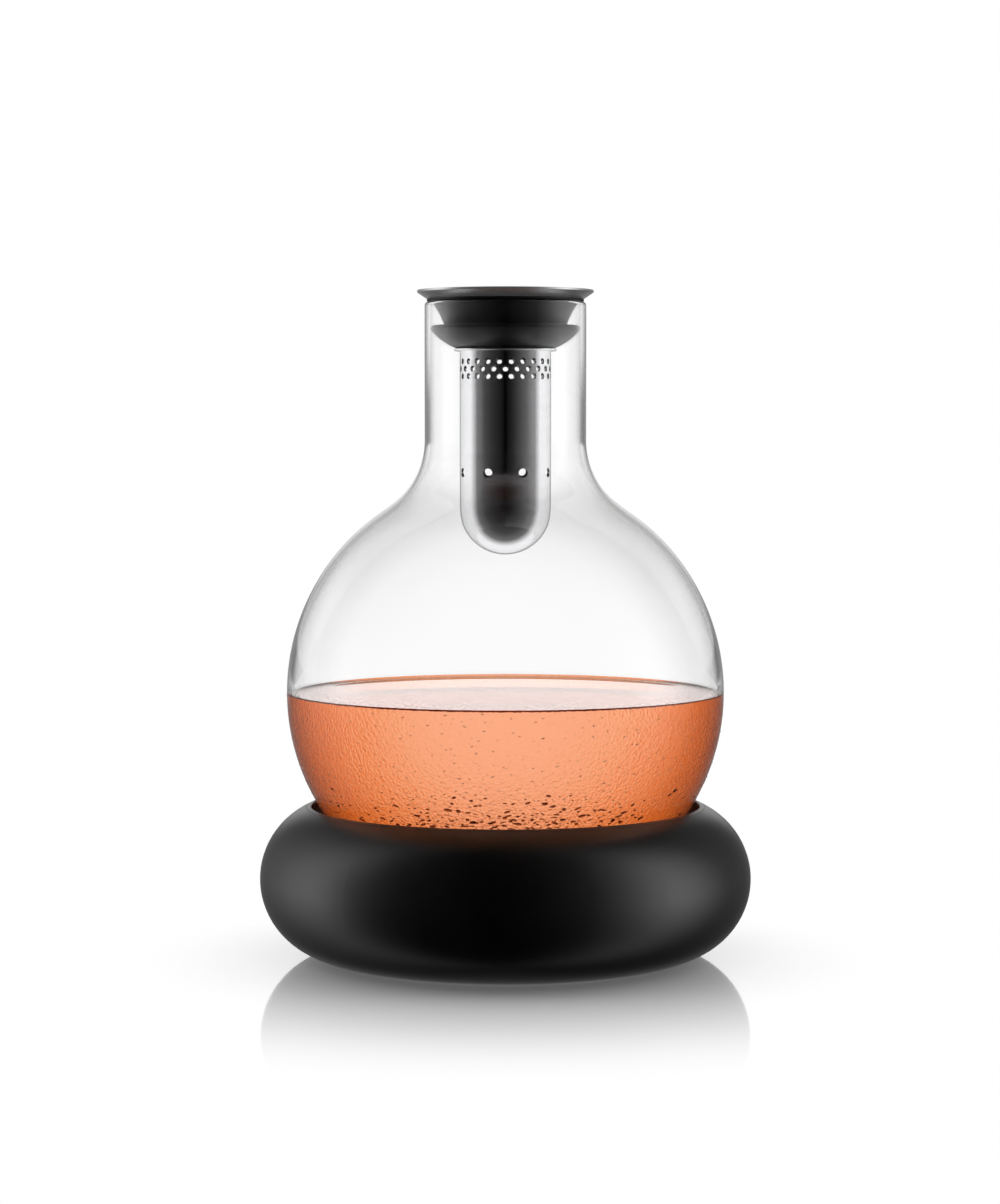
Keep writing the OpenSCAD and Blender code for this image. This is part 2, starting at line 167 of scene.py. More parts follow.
def braced(path: Sequence[Point], reach: float = 0.2, least: float = 1.5, short: float = 0.35) -> list[Point]:
    """Adds points near the ends of long straight pieces, so that their faces are shaded truly.

    Args:
        path: The path's points.
        reach: How far from the ends the new points lie.
        least: The length from which a piece gets them.
        short: The share of its length under which a neighbour counts as short.

    Returns:
        The path with the added points, at each end where a long piece meets a short one.
    """
    lengths = [0.0, *(math.dist(a, b) for a, b in zip(path, path[1:])), 0.0]
    made = [path[0]]
    for i, (a, b) in enumerate(zip(path, path[1:]), 1):
        share = reach / max(lengths[i], reach)
        for beside, at in ((lengths[i - 1], share), (lengths[i + 1], 1 - share)):
            if lengths[i] > least and beside < lengths[i] * short:
                made.append((a[0] + (b[0] - a[0]) * at, a[1] + (b[1] - a[1]) * at))
        made.append(b)
    return made


def eased(path: Sequence[Point], at: int, blur: float = 3.0, reach: float = 10.0) -> list[Point]:
    """Evens out a sudden change of curvature.

    Args:
        path: The path's points.
        at: The index of the point where the curvature changes.
        blur: How far along the path the points are averaged there.
        reach: How far along the path the averaging fades.

    Returns:
        The path, which keeps its ends.
    """
    along = [0.0]
    for a, b in zip(path, path[1:]):
        along.append(along[-1] + math.dist(a, b))
    inside = range(1, len(path) - 1)
    made = list(path)
    for i in inside:
        width = blur * math.exp(-(((along[i] - along[at]) / reach) ** 2))
        if width > 0.1:
            near = [math.exp(-(((along[j] - along[i]) / width) ** 2) / 2) for j in inside]
            weights = [share * (along[j + 1] - along[j - 1]) for j, share in zip(inside, near)]
            total = sum(weights)
            made[i] = tuple(c / total for c in weighed(weights, path[1:-1]))
    return made


def shifted(path: Sequence[Point], distance: float) -> list[Point]:
    """A path beside the given one.

    Args:
        path: The path's points.
        distance: How far the new path lies to the left of the old one.

    Returns:
        As many points, each moved square to the path.
    """
    made = []
    for i, point in enumerate(path):
        way = Vector(path[min(i + 1, len(path) - 1)]) - Vector(path[max(i - 1, 0)])
        way.normalize()
        made.append((max(point[0] - way.y * distance, 0.0), point[1] + way.x * distance))
    return made


# Meshes


def mesh_object(name: str, mesh: bpy.types.Mesh) -> Piece:
    """Puts a mesh in the scene as an object at the origin.

    Args:
        name: The object's name.
        mesh: Its mesh.

    Returns:
        The object.
    """
    made = bpy.data.objects.new(name, mesh)
    bpy.context.scene.collection.objects.link(made)
    return made


def taken(bm: bmesh.types.BMesh, name: str) -> bpy.types.Mesh:
    """Turns faces under construction into a mesh, and frees them.

    Args:
        bm: The faces.
        name: The mesh's name.

    Returns:
        The mesh.
    """
    mesh = bpy.data.meshes.new(name)
    bm.to_mesh(mesh)
    bm.free()
    return mesh


def lathe_rings(bm: bmesh.types.BMesh, path: Sequence[Point], segments: int, closed: bool) -> None:
    """Turns a path round the axis into faces.

    Args:
        bm: The mesh that takes the faces.
        path: The path's points, in millimetres.
        segments: The number of steps round the axis.
        closed: Whether the last point joins the first.
    """
    turns = [FULL_TURN * i / segments for i in range(segments)]
    rings = []
    for radius, height in braced(path):
        if radius < ON_AXIS:
            rings.append([bm.verts.new((0, 0, height * MM))])
            continue
        places = [(radius * math.sin(t), -radius * math.cos(t), height) for t in turns]
        rings.append([bm.verts.new(Vector(p) * MM) for p in places])
    pairs = list(zip(rings, rings[1:]))
    if closed:
        pairs.append((rings[-1], rings[0]))
    for low, high in pairs:
        for i in range(segments):
            j = (i + 1) % segments
            corners = [low[i % len(low)], low[j % len(low)], high[j % len(high)], high[i % len(high)]]
            bm.faces.new(list(dict.fromkeys(corners)))


def finish_mesh(bm: bmesh.types.BMesh, name: str, sharp: float = 35.0) -> Piece:
    """Merges doubles, turns the faces outwards and shades them smooth up to an angle.

    Args:
        bm: The faces, which are freed here.
        name: The piece's name.
        sharp: The angle past which an edge stays sharp, in degrees.

    Returns:
        The piece.
    """
    bmesh.ops.remove_doubles(bm, verts=bm.verts, dist=MERGE_WITHIN)
    bmesh.ops.recalc_face_normals(bm, faces=bm.faces)
    mesh = taken(bm, name)
    mesh.shade_smooth()
    mesh.set_sharp_from_angle(angle=math.radians(sharp))
    return mesh_object(name, mesh)


def lathe(name: str, path: Sequence[Point], segments: int = 192, closed: bool = False) -> Piece:
    """Makes a turned piece.

    Args:
        name: The piece's name.
        path: Its half section, in millimetres.
        segments: The number of steps round the axis.
        closed: Whether the section is a loop clear of the axis.

    Returns:
        The piece.
    """
    bm = bmesh.new()
    lathe_rings(bm, path, segments, closed)
    return finish_mesh(bm, name)


def absorb(bm: bmesh.types.BMesh, piece: Piece) -> None:
    """Adds a piece's faces to those under construction, and deletes the piece."""
    bm.from_mesh(piece.data)
    bpy.data.objects.remove(piece)


def baked_copy(source: Piece, name: str) -> Piece:
    """Turns an object with its modifiers into a plain mesh, and deletes the source.

    Args:
        source: The object with modifiers.
        name: The name of the plain piece.

    Returns:
        The plain piece.
    """
    graph = bpy.context.evaluated_depsgraph_get()
    mesh = bpy.data.meshes.new_from_object(source.evaluated_get(graph))
    mesh.name = name
    bpy.data.objects.remove(source)
    return mesh_object(name, mesh)


# Node trees


class Nodes:
    """A node tree with short calls to fill it. A value is a socket to link or a plain value to set."""

    prefix = "ShaderNode"

    def __init__(self, tree: bpy.types.NodeTree) -> None:
        """Takes the tree to fill."""
        self.tree = tree

    def node(self, kind: str, inputs: Optional[Mapping] = None, **settings: object) -> bpy.types.Node:
        """Adds a node.

        Args:
            kind: The node's type, in full or without this kind of tree's prefix.
            inputs: The inputs' values, by name or index.
            **settings: The node's own properties.

        Returns:
            The node.
        """
        made = self.tree.nodes.new(kind if "Node" in kind else self.prefix + kind)
        for key, value in settings.items():
            setattr(made, key, value)
        for key, value in (inputs or {}).items():
            if isinstance(value, Socket):
                self.tree.links.new(value, made.inputs[key])
            else:
                made.inputs[key].default_value = value
        return made

    def math(self, operation: str, *values: object) -> Socket:
        """Adds a Math node and gives its result."""
        return self.node("ShaderNodeMath", dict(enumerate(values)), operation=operation).outputs[0]

    def plus(self, a: object, b: object) -> Socket:
        """Gives a + b."""
        return self.math("ADD", a, b)

    def minus(self, a: object, b: object) -> Socket:
        """Gives a - b."""
        return self.math("SUBTRACT", a, b)

    def times(self, a: object, b: object) -> Socket:
        """Gives a * b."""
        return self.math("MULTIPLY", a, b)

    def over(self, a: object, b: object) -> Socket:
        """Gives a / b."""
        return self.math("DIVIDE", a, b)

    def join(self, *parts: object) -> Socket:
        """Makes a vector of its coordinates."""
        return self.node("ShaderNodeCombineXYZ", dict(enumerate(parts))).outputs[0]

    def split(self, vector: Socket) -> list[Socket]:
        """Gives a vector's three coordinates."""
        return list(self.node("ShaderNodeSeparateXYZ", {0: vector}).outputs)

    def between(
        self,
        value: Socket,
        start: object,
        end: object,
        low: object = 0.0,
        high: object = 1.0,
        curve: str = "LINEAR",
    ) -> Socket:
        """Maps a range onto another one.

        Args:
            value: What is mapped.
            start: Where it gives low.
            end: Where it gives high.
            low: The result at the start and before it.
            high: The result at the end and past it.
            curve: The interpolation's type.

        Returns:
            The result.
        """
        limits = {"Value": value, "From Min": start, "From Max": end, "To Min": low, "To Max": high}
        return self.node("ShaderNodeMapRange", limits, interpolation_type=curve).outputs[0]


class GeometryTree(Nodes):
    """A Geometry Nodes tree with named inputs that ends in Realize Instances and Set Material."""

    prefix = "GeometryNode"

    def __init__(self, name: str) -> None:
        """Starts the tree with its input node.

        Args:
            name: The tree's name.
        """
        super().__init__(bpy.data.node_groups.new(name, "GeometryNodeTree"))
        for way in ("INPUT", "OUTPUT"):
            self.tree.interface.new_socket("Geometry", in_out=way, socket_type="NodeSocketGeometry")
        self.source = self.node("NodeGroupInput")
        self.named: dict[str, str] = {}

    def inputs(self, *names: str, kind: str = "Float") -> list[Socket]:
        """Adds named inputs.

        Args:
            *names: The inputs' names.
            kind: The sockets' kind, such as Float, Int or Material.

        Returns:
            The sockets to read them from.
        """
        for name in names:
            made = self.tree.interface.new_socket(name, in_out="INPUT", socket_type=f"NodeSocket{kind}")
            self.named[name] = made.identifier
        by_identifier = {s.identifier: s for s in self.source.outputs}
        return [by_identifier[self.named[name]] for name in names]

    def close(self, geometry: Socket, material: Socket) -> None:
        """Ends the tree in Realize Instances and Set Material.

        Args:
            geometry: What the tree puts out.
            material: The material that it gets.
        """
        real = self.node("RealizeInstances", {0: geometry})
        dressed = self.node("SetMaterial", {"Geometry": real.outputs[0], "Material": material})
        self.node("NodeGroupOutput", {0: dressed.outputs[0]})

    def grow(self, host: Piece, name: str, values: Mapping[str, object]) -> Piece:
        """Runs the tree on an object.

        Args:
            host: The object that carries the tree, which is deleted.
            name: The name of the plain piece that comes out.
            values: The inputs' values, by name.

        Returns:
            The plain piece.
        """
        modifier = host.modifiers.new(self.tree.name, "NODES")
        modifier.node_group = self.tree
        for key, value in values.items():
            modifier[self.named[key]] = value
        return baked_copy(host, name)


def perforation_tree() -> GeometryTree:
    """Tree that bends rows of tiles, each with a round hole, into a band of a tube.

    A tile is a strip that laps its hole: along it runs the turn, from 0 to 4 sides, and across it the
    share of the way from the hole's edge to the tile's.

    Returns:
        The tree. Its host's own mesh isn't used.
    """
    tree = GeometryTree("Perforated band")
    around, rows, side = tree.inputs("Holes Around", "Rows", "Side Segments", kind="Int")
    pitch, hole, tube = tree.inputs("Row Pitch", "Hole Radius", "Tube Radius")
    top, stagger = tree.inputs("First Row Height", "Stagger")
    (material,) = tree.inputs("Material", kind="Material")
    width = tree.over(tree.times(tube, FULL_TURN), around)
    lap = tree.plus(tree.times(side, 4.0), 1.0)
    grid = tree.node("MeshGrid", {"Size X": 4.0, "Size Y": 1.0, "Vertices X": lap, "Vertices Y": 4})
    x, y, _ = tree.split(tree.node("InputPosition").outputs[0])
    lap_at, share = tree.plus(x, 2.0), tree.plus(y, 0.5)

    def rim(start: float, size: Socket) -> Socket:
        """Coordinate of the tile's outline, as a clamped triangle wave.

        Args:
            start: Where the wave is highest, in sides of the tile.
            size: The tile's size that way.

        Returns:
            The coordinate.
        """
        wave = tree.math("ABSOLUTE", tree.math("WRAP", tree.minus(lap_at, start), 2.0, -2.0))
        level = tree.minus(2.0, tree.times(wave, 2.0))
        held = tree.math("MAXIMUM", tree.math("MINIMUM", level, 1.0), -1.0)
        return tree.times(held, tree.over(size, 2.0))

    turn = tree.times(tree.minus(lap_at, 0.5), math.pi / 2)
    ring = [tree.times(tree.math(wave, turn), hole) for wave in ("COSINE", "SINE")]
    edge = [rim(0.5, width), rim(1.5, pitch)]
    spot = tree.join(*(tree.plus(r, tree.times(tree.minus(e, r), share)) for r, e in zip(ring, edge)))
    tile = tree.node("SetPosition", {"Geometry": grid.outputs[0], "Position": spot})
    index = tree.node("InputIndex").outputs[0]
    row = tree.math("FLOOR", tree.over(tree.plus(index, 0.5), around))
    column = tree.minus(index, tree.times(row, around))
    odd = tree.times(tree.minus(1.0, tree.math("MODULO", row, 2.0)), stagger)
    seat = tree.join(tree.times(tree.plus(column, odd), width), tree.times(row, tree.times(pitch, -1.0)))
    spots = tree.node("Points", {"Count": tree.times(around, rows), "Position": seat})
    laid = tree.node("InstanceOnPoints", {"Points": spots.outputs[0], "Instance": tile.outputs[0]})
    sheet = tree.node("RealizeInstances", {0: laid.outputs[0]})
    x, y, _ = tree.split(tree.node("InputPosition").outputs[0])
    angle = tree.over(x, tube)
    across = tree.times(tree.math("SINE", angle), tube)
    towards = tree.times(tree.math("COSINE", angle), tree.times(tube, -1.0))
    bent = {"Geometry": sheet.outputs[0], "Position": tree.join(across, towards, tree.plus(y, top))}
    rolled = tree.node("SetPosition", bent)
    merged = tree.node("MergeByDistance", {"Geometry": rolled.outputs[0], "Distance": MERGE_WITHIN})
    tree.close(merged.outputs[0], material)
    return tree


FRONT_HALF_WIDTH = (28 * MM, 50 * MM)
DROP_STRETCH = ((0.9, 0.45, 1.0), (2.0, 0.8, 1.0))
DROP_TILT = ((0.0, 0.0, -0.4), (0.0, 0.0, 0.4))
FADE_POWER = 1.6
SIZE_POWER = 3.0


def drop_tree() -> GeometryTree:
    """Tree that sets flattened drops of mixed sizes on the host's faces.

    They thin out from Bottom to Top, and to Share Aside past the middle of the front and the back.

    Returns:
        The tree.
    """
    tree = GeometryTree("Condensed drops")
    density, least, most, low, high = tree.inputs("Density", "Least Radius", "Most Radius", "Bottom", "Top")
    flat, aside = tree.inputs("Flatness", "Share Aside")
    seed, detail = tree.inputs("Seed", "Detail", kind="Int")
    (material,) = tree.inputs("Material", kind="Material")

    def drawn(offset: float, limits: tuple) -> Socket:
        """Draws a vector for each drop."""
        values = {"Min": limits[0], "Max": limits[1], "Seed": tree.plus(seed, offset)}
        return tree.node("FunctionNodeRandomValue", values, data_type="FLOAT_VECTOR").outputs[0]

    x, _, z = tree.split(tree.node("InputPosition").outputs[0])
    wet = tree.times(density, tree.math("POWER", tree.between(z, low, high, 1.0, 0.0), FADE_POWER))
    here = tree.times(wet, tree.between(tree.math("ABSOLUTE", x), *FRONT_HALF_WIDTH, 1.0, aside))
    skin = {"Mesh": tree.source.outputs[0], "Density": here, "Seed": seed}
    spread = tree.node("DistributePointsOnFaces", skin)
    chance = tree.node("FunctionNodeRandomValue", {"Seed": seed}, data_type="FLOAT").outputs[1]
    size = tree.plus(least, tree.times(tree.minus(most, least), tree.math("POWER", chance, SIZE_POWER)))
    stretch = {0: drawn(1.0, DROP_STRETCH), 1: tree.join(1.0, 1.0, flat)}
    shape = tree.node("ShaderNodeVectorMath", stretch, operation="MULTIPLY").outputs[0]
    scale = tree.node("ShaderNodeVectorMath", {0: shape, "Scale": size}, operation="SCALE").outputs[0]
    rings = tree.plus(tree.over(detail, 2.0), 1.0)
    ball = tree.node("MeshUVSphere", {"Segments": detail, "Rings": rings, "Radius": 1.0})
    smooth = tree.node("SetShadeSmooth", {"Geometry": ball.outputs[0], "Shade Smooth": True})
    tilt = tree.node("FunctionNodeEulerToRotation", {0: drawn(2.0, DROP_TILT)}).outputs[0]
    way = {"Rotation": spread.outputs["Rotation"], "Rotate By": tilt}
    twist = tree.node("FunctionNodeRotateRotation", way, rotation_space="LOCAL").outputs[0]
    places = {"Points": spread.outputs[0], "Instance": smooth.outputs[0], "Rotation": twist, "Scale": scale}
    tree.close(tree.node("InstanceOnPoints", places).outputs[0], material)
    return tree


class Shading(Nodes):
    """The node tree of a material, a shared effect or the world."""

    def ramp(self, value: Socket, stops: Stops) -> Socket:
        """Adds a Color Ramp.

        Args:
            value: What the ramp reads.
            stops: Each stop's place, and its grey level or its colour.

        Returns:
            The ramp's colour.
        """
        made = self.node("ValToRGB", {0: value})
        row = made.color_ramp.elements
        while len(row) < len(stops):
            row.new(0.5)
        for element, (place, colour) in zip(row, stops):
            element.position = place
            rgb = colour if isinstance(colour, tuple) else (colour,) * 3
            element.color = (*rgb, 1.0)
        return made.outputs[0]

    def mix(self, share: object, first: object, second: object, blend_type: str = "MIX") -> Socket:
        """Mixes two colours."""
        values = {0: share, 6: first, 7: second}
        return self.node("Mix", values, data_type="RGBA", blend_type=blend_type).outputs[2]

    def blend(self, share: object, first: Socket, second: Socket) -> Socket:
        """Mixes two shaders."""
        return self.node("MixShader", {0: share, 1: first, 2: second}).outputs[0]

    def noise(self, place: Socket, scale: object, detail: float = 2.0, roughness: float = 0.5) -> Socket:
        """Adds noise with scale waves per metre."""
        values = {"Vector": place, "Scale": scale, "Detail": detail, "Roughness": roughness}
        return self.node("TexNoise", values).outputs[0]

    def bump(self, height: Socket, depth: float, strength: float, invert: bool = False) -> Socket:
        """Gives the normal of an uneven surface, with its depth in millimetres."""
        values = {"Height": height, "Distance": depth * MM, "Strength": strength}
        return self.node("Bump", values, invert=invert).outputs[0]

    def on_object(self) -> Socket:
        """Gives the place on the object."""
        return self.node("TexCoord").outputs["Object"]

    def effect(self, name: str, values: Mapping[str, object]) -> bpy.types.Node:
        """Places one of the shared effects, with a value for each of its inputs."""
        return self.node("Group", values, node_tree=shared_effect(name))


def grain(tree: Shading, size: Socket, patch_size: Socket) -> dict[str, Socket]:
    """Fine moulded grain with a slow unevenness, as heights and patches.

    Args:
        tree: The effect's tree.
        size: The grain's size, in millimetres.
        patch_size: The size of the unevenness, in millimetres.

    Returns:
        The effect's outputs, by name.
    """
    place = tree.on_object()
    return {
        "Height": tree.noise(place, tree.over(1 / MM, size), 3.0, 0.6),
        "Patches": tree.noise(place, tree.over(1 / MM, patch_size), 4.0, 0.55),
    }


def brushing(tree: Shading, line_width: Socket) -> dict[str, Socket]:
    """Fine lines that run round the axis and hardly change on the way, as heights and slow streaks.

    Args:
        tree: The effect's tree.
        line_width: A line's width, in millimetres.

    Returns:
        The effect's outputs, by name.
    """
    x, y, z = tree.split(tree.on_object())
    radius = tree.math("SQRT", tree.plus(tree.math("POWER", x, 2.0), tree.math("POWER", y, 2.0)))
    stretched_turn = tree.times(tree.math("ARCTAN2", y, x), 0.0004)
    spot = tree.join(radius, stretched_turn, z)
    fine = tree.over(1 / MM, line_width)
    return {"Height": tree.noise(spot, fine), "Streaks": tree.noise(spot, tree.times(fine, 0.12))}


EFFECTS: dict[str, tuple[Callable[..., dict[str, Socket]], dict[str, float]]] = {
    "Moulded grain": (grain, {"Size": 0.3, "Patch Size": 18.0}),
    "Turned brushing": (brushing, {"Line Width": 0.08}),
}


@functools.cache
def shared_effect(name: str) -> bpy.types.NodeTree:
    """Gives a shared effect, which is built once.

    Args:
        name: The effect's name.

    Returns:
        Its node group.
    """
    fill, usual = EFFECTS[name]
    tree = Shading(bpy.data.node_groups.new(name, "ShaderNodeTree"))
    new_socket = functools.partial(tree.tree.interface.new_socket, socket_type="NodeSocketFloat")
    for label, value in usual.items():
        new_socket(label, in_out="INPUT").default_value = value
    source = tree.node("NodeGroupInput")
    results = fill(tree, *(source.outputs[label] for label in usual))
    for label in results:
        new_socket(label, in_out="OUTPUT")
    tree.node("NodeGroupOutput", results)
    return tree.tree


# Finishes


@dataclass(frozen=True)
class Finish:
    """A material, to which each kind of finish gives its surface.

    Attributes:
        name: The material's name.
    """

    name: str

    def surface(self, tree: Shading) -> Socket:
        """Makes the surface.

        Args:
            tree: The material's tree.

        Returns:
            The surface's shader.
        """
        raise NotImplementedError

    def build(self) -> bpy.types.Material:
        """Makes the material.

        Returns:
            The material.
        """
        made = bpy.data.materials.new(self.name)
        made.use_nodes = True
        made.node_tree.nodes.clear()
        tree = Shading(made.node_tree)
        tree.node("OutputMaterial", {"Surface": self.surface(tree)})
        return made


@dataclass(frozen=True)
class Moulded(Finish):
    """Moulded plastic or rubber with a fine grain.

    Attributes:
        colour: The colour between the patches.
        patch: How much lighter the patches are, as a share.
        roughness: The least and the most roughness.
        grain: The grain's size, in millimetres.
        depth: The grain's depth, in millimetres.
        patch_size: The patches' size, in millimetres.
        specular: The strength of the gloss.
    """

    colour: Colour
    patch: float
    roughness: tuple[float, float]
    grain: float
    depth: float
    patch_size: float = 18.0
    specular: float = 0.5

    def surface(self, tree: Shading) -> Socket:
        """Makes the surface.

        Args:
            tree: The material's tree.

        Returns:
            The surface's shader.
        """
        marks = tree.effect("Moulded grain", {"Size": self.grain, "Patch Size": self.patch_size}).outputs
        lighter = tuple(min(1.0, c * (1 + self.patch) + 0.002) for c in self.colour)
        values = {
            "Base Color": tree.ramp(marks["Patches"], [(0.35, self.colour), (0.7, lighter)]),
            "Roughness": tree.between(marks["Patches"], 0.0, 1.0, *self.roughness),
            "Normal": tree.bump(marks["Height"], self.depth, 0.6),
            "Specular IOR Level": self.specular,
        }
        return tree.node("BsdfPrincipled", values).outputs[0]


@dataclass(frozen=True)
class Steel(Finish):
    """Turned steel, brushed or polished.

    Attributes:
        colour: The metal's colour.
        roughness: The least and the most roughness.
        line: The width of a brushed line, in millimetres.
        depth: The depth of a line, in millimetres.
        dullest: What a line's dark side keeps of the colour.
        metallic: The share of bare metal; the rest is a dull film.
    """

    colour: Colour
    roughness: tuple[float, float]
    line: float = 0.08
    depth: float = 0.001
    dullest: float = 0.86
    metallic: float = 1.0

    def surface(self, tree: Shading) -> Socket:
        """Makes the surface.

        Args:
            tree: The material's tree.

        Returns:
            The surface's shader.
        """
        lines = tree.effect("Turned brushing", {"Line Width": self.line}).outputs
        darker = tuple(c * self.dullest for c in self.colour)
        values = {
            "Base Color": tree.ramp(lines["Streaks"], [(0.35, darker), (0.65, self.colour)]),
            "Metallic": self.metallic,
            "Roughness": tree.between(lines["Streaks"], 0.0, 1.0, *self.roughness),
            "Normal": tree.bump(lines["Height"], self.depth, 0.5),
        }
        return tree.node("BsdfPrincipled", values).outputs[0]


def clear_body(tree: Shading, values: Mapping[str, object], tint: Colour) -> Socket:
    """Makes a clear body that lets shadow and diffuse rays by, so that light reaches what stands behind it.

    Args:
        tree: The material's tree.
        values: The inputs of the glass shader.
        tint: What the light keeps on its way.

    Returns:
        The body's shader.
    """
    shader = tree.node("BsdfPrincipled", {"Transmission Weight": 1.0, **values})
    clear = tree.node("BsdfTransparent", {"Color": (*tint, 1.0)})
    path = tree.node("LightPath").outputs
    soft = tree.math("MAXIMUM", path["Is Shadow Ray"], path["Is Diffuse Ray"])
    return tree.blend(soft, shader.outputs[0], clear.outputs[0])


@dataclass(frozen=True)
class ClearGlass(Finish):
    """Clear blown glass, with a film of condensation where it is cold and painted shade towards its edges.

    Attributes:
        cold_to: The height where the film ends, in millimetres.
        fade: The height over which it fades, in millimetres.
        wander: How far its end wanders up and down, in millimetres.
        mist: The roughness of the film.
        painted_edge_greys: Painted shade, the grey of the glass from a square view to a grazing one, darker
            towards its edges.
        tint: What a shadow ray keeps.
    """

    cold_to: float = 92.0
    fade: float = 9.0
    wander: float = 10.0
    mist: float = 0.22
    # Painted shade: the glass turns grey towards grazing views, standing for the dark surroundings seen
    # through its edges
    painted_edge_greys: Stops = (
        *((0.0, 1.0), (0.2, 0.98), (0.33, 0.93), (0.43, 0.87)),
        *((0.5, 0.84), (0.58, 0.87), (0.66, 0.9), (1.0, 0.82)),
    )
    tint: Colour = (0.96, 0.97, 0.97)

    def surface(self, tree: Shading) -> Socket:
        """Makes the surface.

        Args:
            tree: The material's tree.

        Returns:
            The surface's shader.
        """
        coords = tree.on_object()
        slow = tree.noise(coords, 90.0, 3.0)
        wander = tree.times(tree.minus(slow, 0.5), self.wander * MM)
        height = tree.plus(tree.split(coords)[2], wander)
        cold = tree.between(height, (self.cold_to - self.fade) * MM, self.cold_to * MM, 1.0, 0.0)
        beads = tree.node("TexVoronoi", {"Vector": coords, "Scale": 900.0}).outputs["Distance"]
        film = tree.times(tree.between(slow, 0.0, 1.0, 0.5, 1.2), cold)
        values = {
            # The base colour paints shade at the glass's edges, greyer towards grazing views
            "Base Color": tree.ramp(tree.node("LayerWeight", {"Blend": 0.5}).outputs["Facing"], self.painted_edge_greys),
            "Specular IOR Level": 0.3,
            "Roughness": tree.times(film, self.mist),
            "IOR": GLASS_IOR,
            "Normal": tree.bump(tree.times(beads, cold), 0.25, 0.35, invert=True),
        }
        return clear_body(tree, values, self.tint)


@dataclass(frozen=True)
class WettedWall(Finish):
    """The wetted inside of the glass, which takes no part in the bending of light."""

    def surface(self, tree: Shading) -> Socket:
        """Makes the surface.

        Args:
            tree: The material's tree.

        Returns:
            The surface's shader.
        """
        return tree.node("BsdfTransparent").outputs[0]


@dataclass(frozen=True)
class Liquid(Finish):
    """Clear coloured drink, or a clear drop of water, with painted shade towards its edges.

    Attributes:
        colour: The colour that light keeps when it has passed.
        painted_edge_shade: Painted shade, the share of the colour that is left at each step from a square
            view to a grazing one.
        ior: The index of refraction against what it touches.
        roughness: The roughness of its skin.
        mottle: The depth of the unevenness that the wet glass before it lends it, in millimetres.
        mottle_size: The size of that unevenness, in millimetres.
    """

    colour: Colour
    painted_edge_shade: Sequence[tuple[float, Colour]]
    ior: float = WATER_IOR
    roughness: float = 0.0
    mottle: float = 0.0
    mottle_size: float = 1.6

    def surface(self, tree: Shading) -> Socket:
        """Makes the surface.

        Args:
            tree: The material's tree.

        Returns:
            The surface's shader.
        """
        uneven = tree.noise(tree.on_object(), 1 / (self.mottle_size * MM))
        bump = tree.bump(uneven, self.mottle, 1.0)
        # The facing, read through the bumped normal, paints shade on the edges and on the tilted spots of the
        # unevenness
        facing = tree.node("LayerWeight", {"Blend": 0.5, "Normal": bump}).outputs["Facing"]
        stops = [(at, tuple(c * s for c, s in zip(self.colour, share))) for at, share in self.painted_edge_shade]
        values = {
            "Base Color": tree.ramp(facing, [(0.0, self.colour), *stops]),
            "Roughness": self.roughness,
            "IOR": self.ior,
            "Normal": bump,
        }
        return clear_body(tree, values, self.colour)


# Painted edge shade of each liquid: the share of its colour left at each step from a square view to a grazing
# one
DRINK_PAINTED_EDGE_SHADE = (
    (0.1, (0.98, 0.9, 0.85)),
    (0.15, (0.92, 0.69, 0.54)),
    (0.17, (0.86, 0.6, 0.42)),
    (0.187, (0.79, 0.47, 0.22)),
    (0.204, (0.78, 0.33, 0.04)),
    (0.225, (0.88, 0.28, 0.0)),
    (0.242, (1.0, 0.36, 0.0)),
    (0.3, (0.8, 0.34, 0.12)),
    (1.0, (0.5, 0.22, 0.08)),
)
DRINK_TOP_PAINTED_EDGE_SHADE = ((1.0, (0.95, 0.9, 0.85)),)
WATER_PAINTED_EDGE_SHADE = ((0.5, (1.0, 0.95, 0.9)), (1.0, (0.75, 0.5, 0.35)))
DARK_DROP_PAINTED_EDGE_SHADE = ((0.3, (0.5, 0.4, 0.35)), (0.7, (0.2, 0.12, 0.1)))
GEL_PAINTED_EDGE_SHADE = ((1.0, (0.6, 0.7, 0.85)),)


